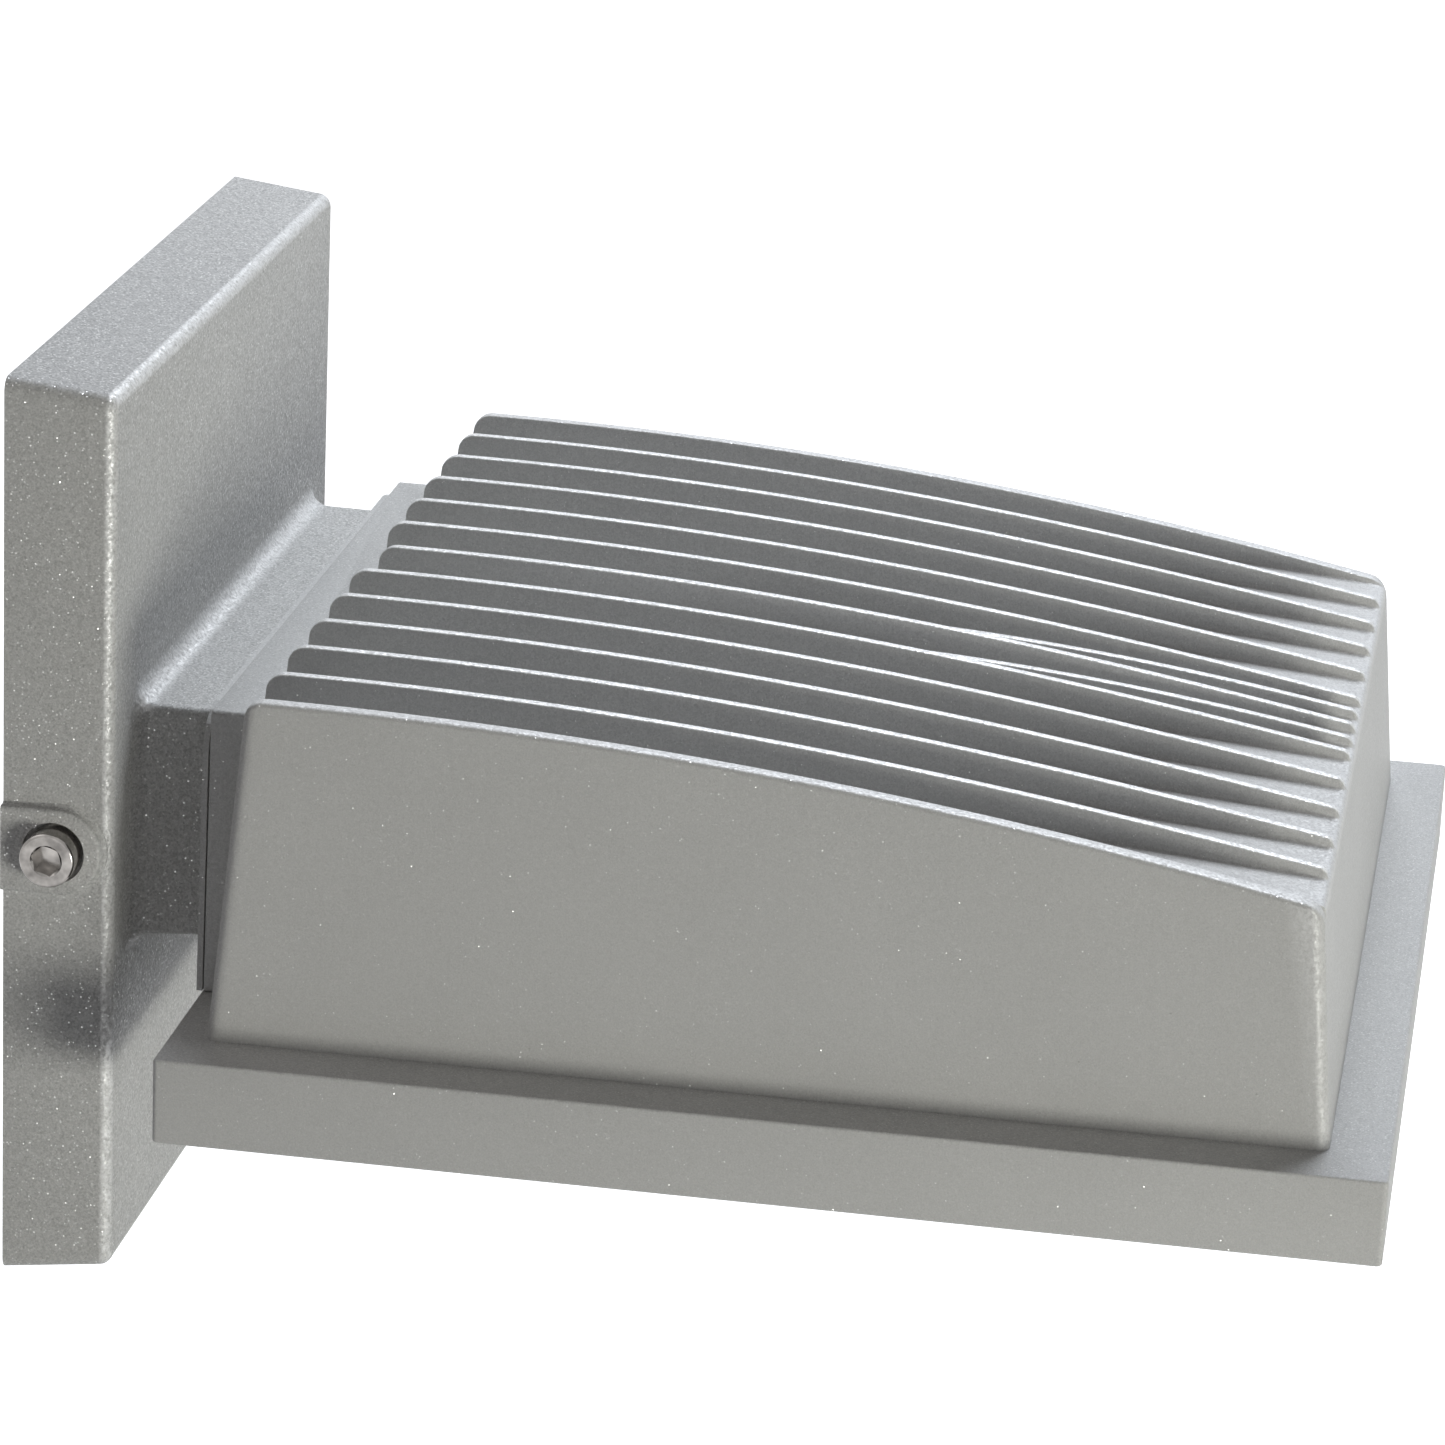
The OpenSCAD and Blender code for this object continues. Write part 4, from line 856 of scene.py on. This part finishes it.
def head_painted_highlight(x, y, z):
    """Painted highlight on the fin tops, on the channel floors towards the front and on the head's front
    corners.
    """
    d = FIN_SPAN * (rear_y(z) - y) / (rear_y(z) - front_y(z))
    if not 0.0 < d < FIN_SPAN:
        return 0.0
    if z > floor_z(d) + FIN_FOOT:
        short = abs(abs(x) - FIN_PITCH / 2) < FIN_T
        outer = abs(x) > side_x(FIN_PEAK) - 2 * OUTER_FIN_T
        if outer:
            top = fin_top(d)
        else:
            top = short_fin_top(d) if short else inner_top(d)
        return (OUTER_WALL_HIGHLIGHT if outer else 1.0) * min(max((z - top + FIN_ROUND) / FIN_ROUND, 0.0), 1.0)
    if z > floor_z(d) - FIN_FOOT:
        return FRONT_FLOOR_HIGHLIGHT * max(1.0 - (FIN_SPAN - d) / FRONT_FLOOR_HIGHLIGHT_REACH, 0.0)
    if abs(x) > side_x(z) - HEAD_CORNER_R:
        return CORNER_HIGHLIGHT * edge_highlight_weight(FIN_SPAN - d, HEAD_CORNER_R)
    return 0.0


def make_heat_sink(material):
    piece = outward(loft("finned_head", [head_ring(d) for d in head_sections()]))
    join(piece, rear_block())
    cut(piece, head_hollow())
    thread_top = HEAD_BASE + FRAME_THREAD_DEPTH
    for x in (-POST_X, POST_X):
        thread = circle(x, 0.0, FRAME_THREAD_D, THREAD_N)
        for y in POST_PLACES:
            cut(piece, prism_z("frame_thread", thread, y, HEAD_BASE - PAST, thread_top))
    rear = PAST - BLOCK_REAR
    thread_end = NECK_THREAD_STOP - BLOCK_FRONT
    for x in (-NECK_BOLT_X, NECK_BOLT_X):
        for z in (-NECK_BOLT_Z, NECK_BOLT_Z):
            thread = circle(x, z, NECK_THREAD_D, THREAD_N)
            cut(piece, prism_y("neck_thread", thread, rear, thread_end))
    cut(piece, prism_y("wire_way", circle(0.0, 0.0, WIRE_WAY_D), rear, -PAST - BLOCK_FRONT))
    slot = [(-LEAD_SLOT_HALF, PAD_Z - PAST), (LEAD_SLOT_HALF, PAD_Z - PAST),
            (LEAD_SLOT_HALF, LEAD_SLOT_TOP), (-LEAD_SLOT_HALF, LEAD_SLOT_TOP)]
    cut(piece, prism_y("lead_slot", slot, WINDOW_Y + PAD_HALF_Y + PAST, WINDOW_Y + LEAD_SLOT_END))
    # Painted highlight on the fin tops, the front of the channel floors and the head's front corners
    paint_highlight(piece, head_painted_highlight)
    return dress(piece, material, "heat_sink")


def door_frame():
    """Outer form of the door frame, with small rounded edges above and below."""
    half_y = (FRAME_FRONT - FRAME_REAR) / 2
    centre = -(FRAME_FRONT + FRAME_REAR) / 2
    bottom = HEAD_BASE - FRAME_T
    edge = [(FRAME_BEVEL * s, edge_drop(FRAME_BEVEL * s, FRAME_BEVEL)) for s in eased(4)]
    levels = [(bottom + rise, drop) for rise, drop in edge]
    levels += [(HEAD_BASE - rise, drop) for rise, drop in reversed(edge)]
    rings = []
    for z, drop in levels:
        corner_r = FRAME_CORNER_R - drop * FRAME_CORNER_SHARE
        outline = rect_outline(FRAME_HALF - drop, half_y - drop, corner_r)
        rings.append([(x, y + centre, z) for x, y in outline])
    return outward(loft("door_frame", rings))


def make_lens_frame(material):
    piece = door_frame()
    bottom = HEAD_BASE - FRAME_T
    below = bottom - PAST
    above = HEAD_BASE + PAST
    ledge_top = bottom + LEDGE_T
    lens_half_x = WINDOW_HALF_X + LEDGE_W
    lens_half_y = WINDOW_HALF_Y + LEDGE_W
    window = rect_outline(WINDOW_HALF_X, WINDOW_HALF_Y, WINDOW_R)
    cut(piece, prism_z("window", window, WINDOW_Y, below, above))
    rebate = rect_outline(lens_half_x + LENS_CLEAR, lens_half_y + LENS_CLEAR, LENS_R)
    cut(piece, prism_z("rebate", rebate, WINDOW_Y, ledge_top, above))
    pocket = [(-lens_half_x, POCKET_REAR), (lens_half_x, POCKET_REAR),
              (lens_half_x, POCKET_FRONT), (-lens_half_x, POCKET_FRONT)]
    cut(piece, prism_z("pocket", pocket, 0.0, ledge_top, above))
    seat = bottom + FRAME_CBORE_DEPTH
    for x in (-POST_X, POST_X):
        for y in POST_PLACES:
            cut(piece, prism_z("screw_hole", circle(x, 0.0, FRAME_HOLE_D, SMALL_N), y, below, above))
            cut(piece, prism_z("counterbore", circle(x, 0.0, FRAME_CBORE_D), y, below, seat))
    lens_top = ledge_top + LENS_GASKET_T + LENS_T
    for side in (-1, 1):
        near = side * CLIP_NOTCH_IN
        far = side * CLIP_NOTCH_OUT
        for y in (-CLIP_Y, CLIP_Y):
            low = y - CLIP_NOTCH_HALF
            high = y + CLIP_NOTCH_HALF
            notch = [(near, low), (far, low), (far, high), (near, high)]
            cut(piece, prism_z("clip_notch", notch, WINDOW_Y, lens_top, above))
    return dress(piece, material, "lens_frame")


def revolve(name, profile, n):
    """Solid turned round +Z from a profile of (radius, height), closed at both ends."""
    turns = [2 * math.pi * k / n for k in range(n)]
    rings = [[(r * math.cos(a), r * math.sin(a), z) for a in turns] for r, z in profile]
    return outward(loft(name, rings))


def cap_screw(name):
    """Socket cap screw along +Z with the seat of its head at height 0."""
    half = HEAD_D / 2
    shank = SCREW_D / 2
    crown = [(half - edge_drop(HEAD_ROUND * s, HEAD_ROUND), HEAD_H - HEAD_ROUND * s)
             for s in reversed(eased(6))]
    profile = [(shank - SCREW_END_BEVEL, -SCREW_LENGTH), (shank, SCREW_END_BEVEL - SCREW_LENGTH),
               (shank, 0.0), (half - SCREW_SEAT_BEVEL, 0.0), (half, SCREW_SEAT_BEVEL)] + crown
    screw = revolve(name, profile, SCREW_N)
    corner_r = SOCKET_AF / 2 / math.cos(math.pi / 6)
    socket = [(corner_r, HEAD_H - SOCKET_DEPTH), (corner_r, HEAD_H + PAST)]
    cut(screw, revolve("socket", socket, 6))
    mouth = SOCKET_AF / 2 + SOCKET_BEVEL
    cone = [(mouth + rise, HEAD_H + rise) for rise in (-SOCKET_BEVEL_DEPTH, SOCKET_BEVEL_PAST)]
    cut(screw, revolve("socket_bevel", cone, FINE_N))
    return screw


def make_side_screws(material):
    screws = []
    for side, name in ((-1, "side_screw_near"), (1, "side_screw_far")):
        screw = cap_screw(name)
        turn = Matrix.Rotation(math.radians(90 * side), 4, "Y")
        turn = turn @ Matrix.Rotation(math.radians(SOCKET_TURN), 4, "Z")
        place = Matrix.Translation(Vector((side * (BOSS_X - CBORE_DEPTH), SCREW_Y, SCREW_Z)) * MM)
        screw.data.transform(place @ turn)
        screws.append(screw)
    for screw in screws:
        dress(screw, material, "side_screws", SCREW_SHARP_ANGLE)


# Materials of the pieces

coat = powder_coat("silver_coat", (0.605, 0.60, 0.585), FINE_FLAKE, 0.012, 0.08, 0.00002)
coarse_coat = powder_coat("silver_coat_coarse", (0.545, 0.54, 0.525), COARSE_FLAKE, 0.09, 0.17, 0.0001)
materials = {
    "silver_coat": coat,
    "silver_coat_coarse": coarse_coat,
    # Stainless: strong patches of darker and lighter colour, a painted reflection on the screw heads
    "stainless": plain_metal("stainless", (0.31, 0.295, 0.28), 0.14, patch_tone_and_reflection=0.4, patch=380.0),
    "zinc_steel": plain_metal("zinc_steel", (0.46, 0.47, 0.50), 0.36, patch_tone_and_reflection=0.12),
    "spring_steel": plain_metal("spring_steel", (0.55, 0.56, 0.57), 0.30),
    "green_steel": plain_metal("green_steel", (0.05, 0.30, 0.10), 0.38, metallic=0.7),
    "brass": plain_metal("brass", (0.75, 0.58, 0.27), 0.30),
    "black_rubber": moulded("black_rubber", (0.018, 0.018, 0.019), 0.62),
    "white_silicone": moulded("white_silicone", (0.62, 0.62, 0.60), 0.55),
    "white_plastic": moulded("white_plastic", (0.74, 0.73, 0.68), 0.42),
    "lead_sleeve": moulded("lead_sleeve", (0.05, 0.05, 0.05), 0.40),
    "driver_metal": plain_metal("driver_metal", (0.70, 0.70, 0.69), 0.40),
    "grey_pad": moulded("grey_pad", (0.32, 0.35, 0.40), 0.60),
    "board_white": moulded("board_white", (0.82, 0.82, 0.80), 0.38),
    "emitter_yellow": moulded("emitter_yellow", (0.90, 0.62, 0.10), 0.18),
    "reflector_white": moulded("reflector_white", (0.80, 0.81, 0.82), 0.32),
    "clear_glass": clear_glass("clear_glass"),
}

SLOT_OF = {entry["node"]: entry["material_slot"] for entry in frame["record"]["subparts"]}
for node, piece in frame["nodes"].items():
    piece.data.materials.clear()
    piece.data.materials.append(materials[SLOT_OF[node]])

make_wall_box(coarse_coat)
make_heat_sink(coat)
make_lens_frame(coat)
make_side_screws(materials["stainless"])


# Studio

def camera_ray(t):
    """1 on rays from the camera or through mirrors and glass, else 0."""
    path = t.new("ShaderNodeLightPath").outputs
    seen = t.math("MAXIMUM", path["Is Camera Ray"], path["Is Glossy Ray"])
    return t.math("MAXIMUM", seen, path["Is Transmission Ray"])


def pale_floor(name):
    """White floor: it keeps the object's shadow near it, fades to plain white further away, and is
    clear from below, so that the underside of the lamp can be seen."""
    t = new_material(name)
    where = t.place()
    base = t.ramp(t.noise(6.0, 2.0, 0.5, where), [(0.3, 0.50), (0.7, 0.52)])
    reach = t.new("ShaderNodeVectorMath", {0: where}, operation="LENGTH").outputs["Value"]
    fade = t.span(reach, FADE_NEAR * MM, FADE_FAR * MM, NEAR_GLOW, 1.0)
    glow = t.math("MULTIPLY", camera_ray(t), fade)
    white = t.new("ShaderNodeBsdfPrincipled", {"Base Color": base, "Roughness": 0.9,
                                               "Emission Color": (1.0, 1.0, 1.0, 1.0),
                                               "Emission Strength": glow}).outputs["BSDF"]
    clear = t.new("ShaderNodeBsdfTransparent").outputs["BSDF"]
    from_below = t.new("ShaderNodeNewGeometry").outputs["Backfacing"]
    surface = t.new("ShaderNodeMixShader", {0: from_below, 1: white, 2: clear})
    return t.show(surface.outputs["Shader"])


def add_floor():
    signs = ((-1, -1), (1, -1), (1, 1), (-1, 1))
    corners = [(x * STAGE_HALF, y * STAGE_HALF, STAGE_Z) for x, y in signs]
    floor = mesh_piece("floor", corners, [(0, 1, 2, 3)])
    floor.data.materials.append(pale_floor("floor_white"))


def area_light(name, place, size_x, size_y, watts, colour):
    data = bpy.data.lights.new(name, "AREA")
    data.shape = "RECTANGLE"
    data.size = size_x * MM
    data.size_y = size_y * MM
    data.energy = watts
    data.color = colour
    lamp = bpy.data.objects.new(name, data)
    lamp.location = Vector(place) * MM
    lamp.rotation_euler = (Vector(AIM) - Vector(place)).to_track_quat("-Z", "Y").to_euler()
    bpy.context.scene.collection.objects.link(lamp)


def set_world(strength):
    """Dim light from all round, which the camera, gloss and glass see as plain white."""
    world = bpy.data.worlds.new("studio")
    bpy.context.scene.world = world
    t = Nodes(world, "ShaderNodeOutputWorld")
    level = t.span(camera_ray(t), 0.0, 1.0, strength, 1.0)
    shade = t.new("ShaderNodeBackground", {"Color": (1.0, 1.0, 1.0, 1.0), "Strength": level})
    t.show(shade.outputs["Background"])


def add_camera():
    """The photograph's camera, fitted to the edges of the wall box, head and frame."""
    place = Vector((-966.2, -254.54, 324.68))
    target = Vector((0.0, -115.53, 2.97))
    roll = math.radians(2.589)
    data = bpy.data.cameras.new("photo_camera")
    data.sensor_width = 36.0
    data.lens = 142.54
    data.shift_x = -0.01959
    data.shift_y = 0.0098
    data.clip_start = 0.01
    camera = bpy.data.objects.new("photo_camera", data)
    look = (target - place).to_track_quat("-Z", "Y").to_matrix().to_4x4()
    camera.matrix_world = Matrix.Translation(place * MM) @ look @ Matrix.Rotation(roll, 4, "Z")
    bpy.context.scene.collection.objects.link(camera)
    bpy.context.scene.camera = camera


add_camera()
add_floor()
set_world(0.02)
area_light("near_front_light", (-1150, -1255, -150), 600, 340, 12.4, (0.995, 1.0, 0.94))
area_light("far_top_light", (1000, -300, 1200), 900, 900, 24.0, (0.875, 0.925, 1.0))
area_light("rear_top_light", (0, 900, 1200), 1100, 1100, 3.4, (1.0, 0.97, 0.985))
area_light("near_light", (-1600, -150, 150), 1000, 1000, 1.3, (0.975, 0.96, 1.0))
area_light("far_light", (1500, -300, 400), 1000, 1000, 0.86, (0.60, 0.74, 1.0))

bpy.context.scene.view_settings.view_transform = "Standard"
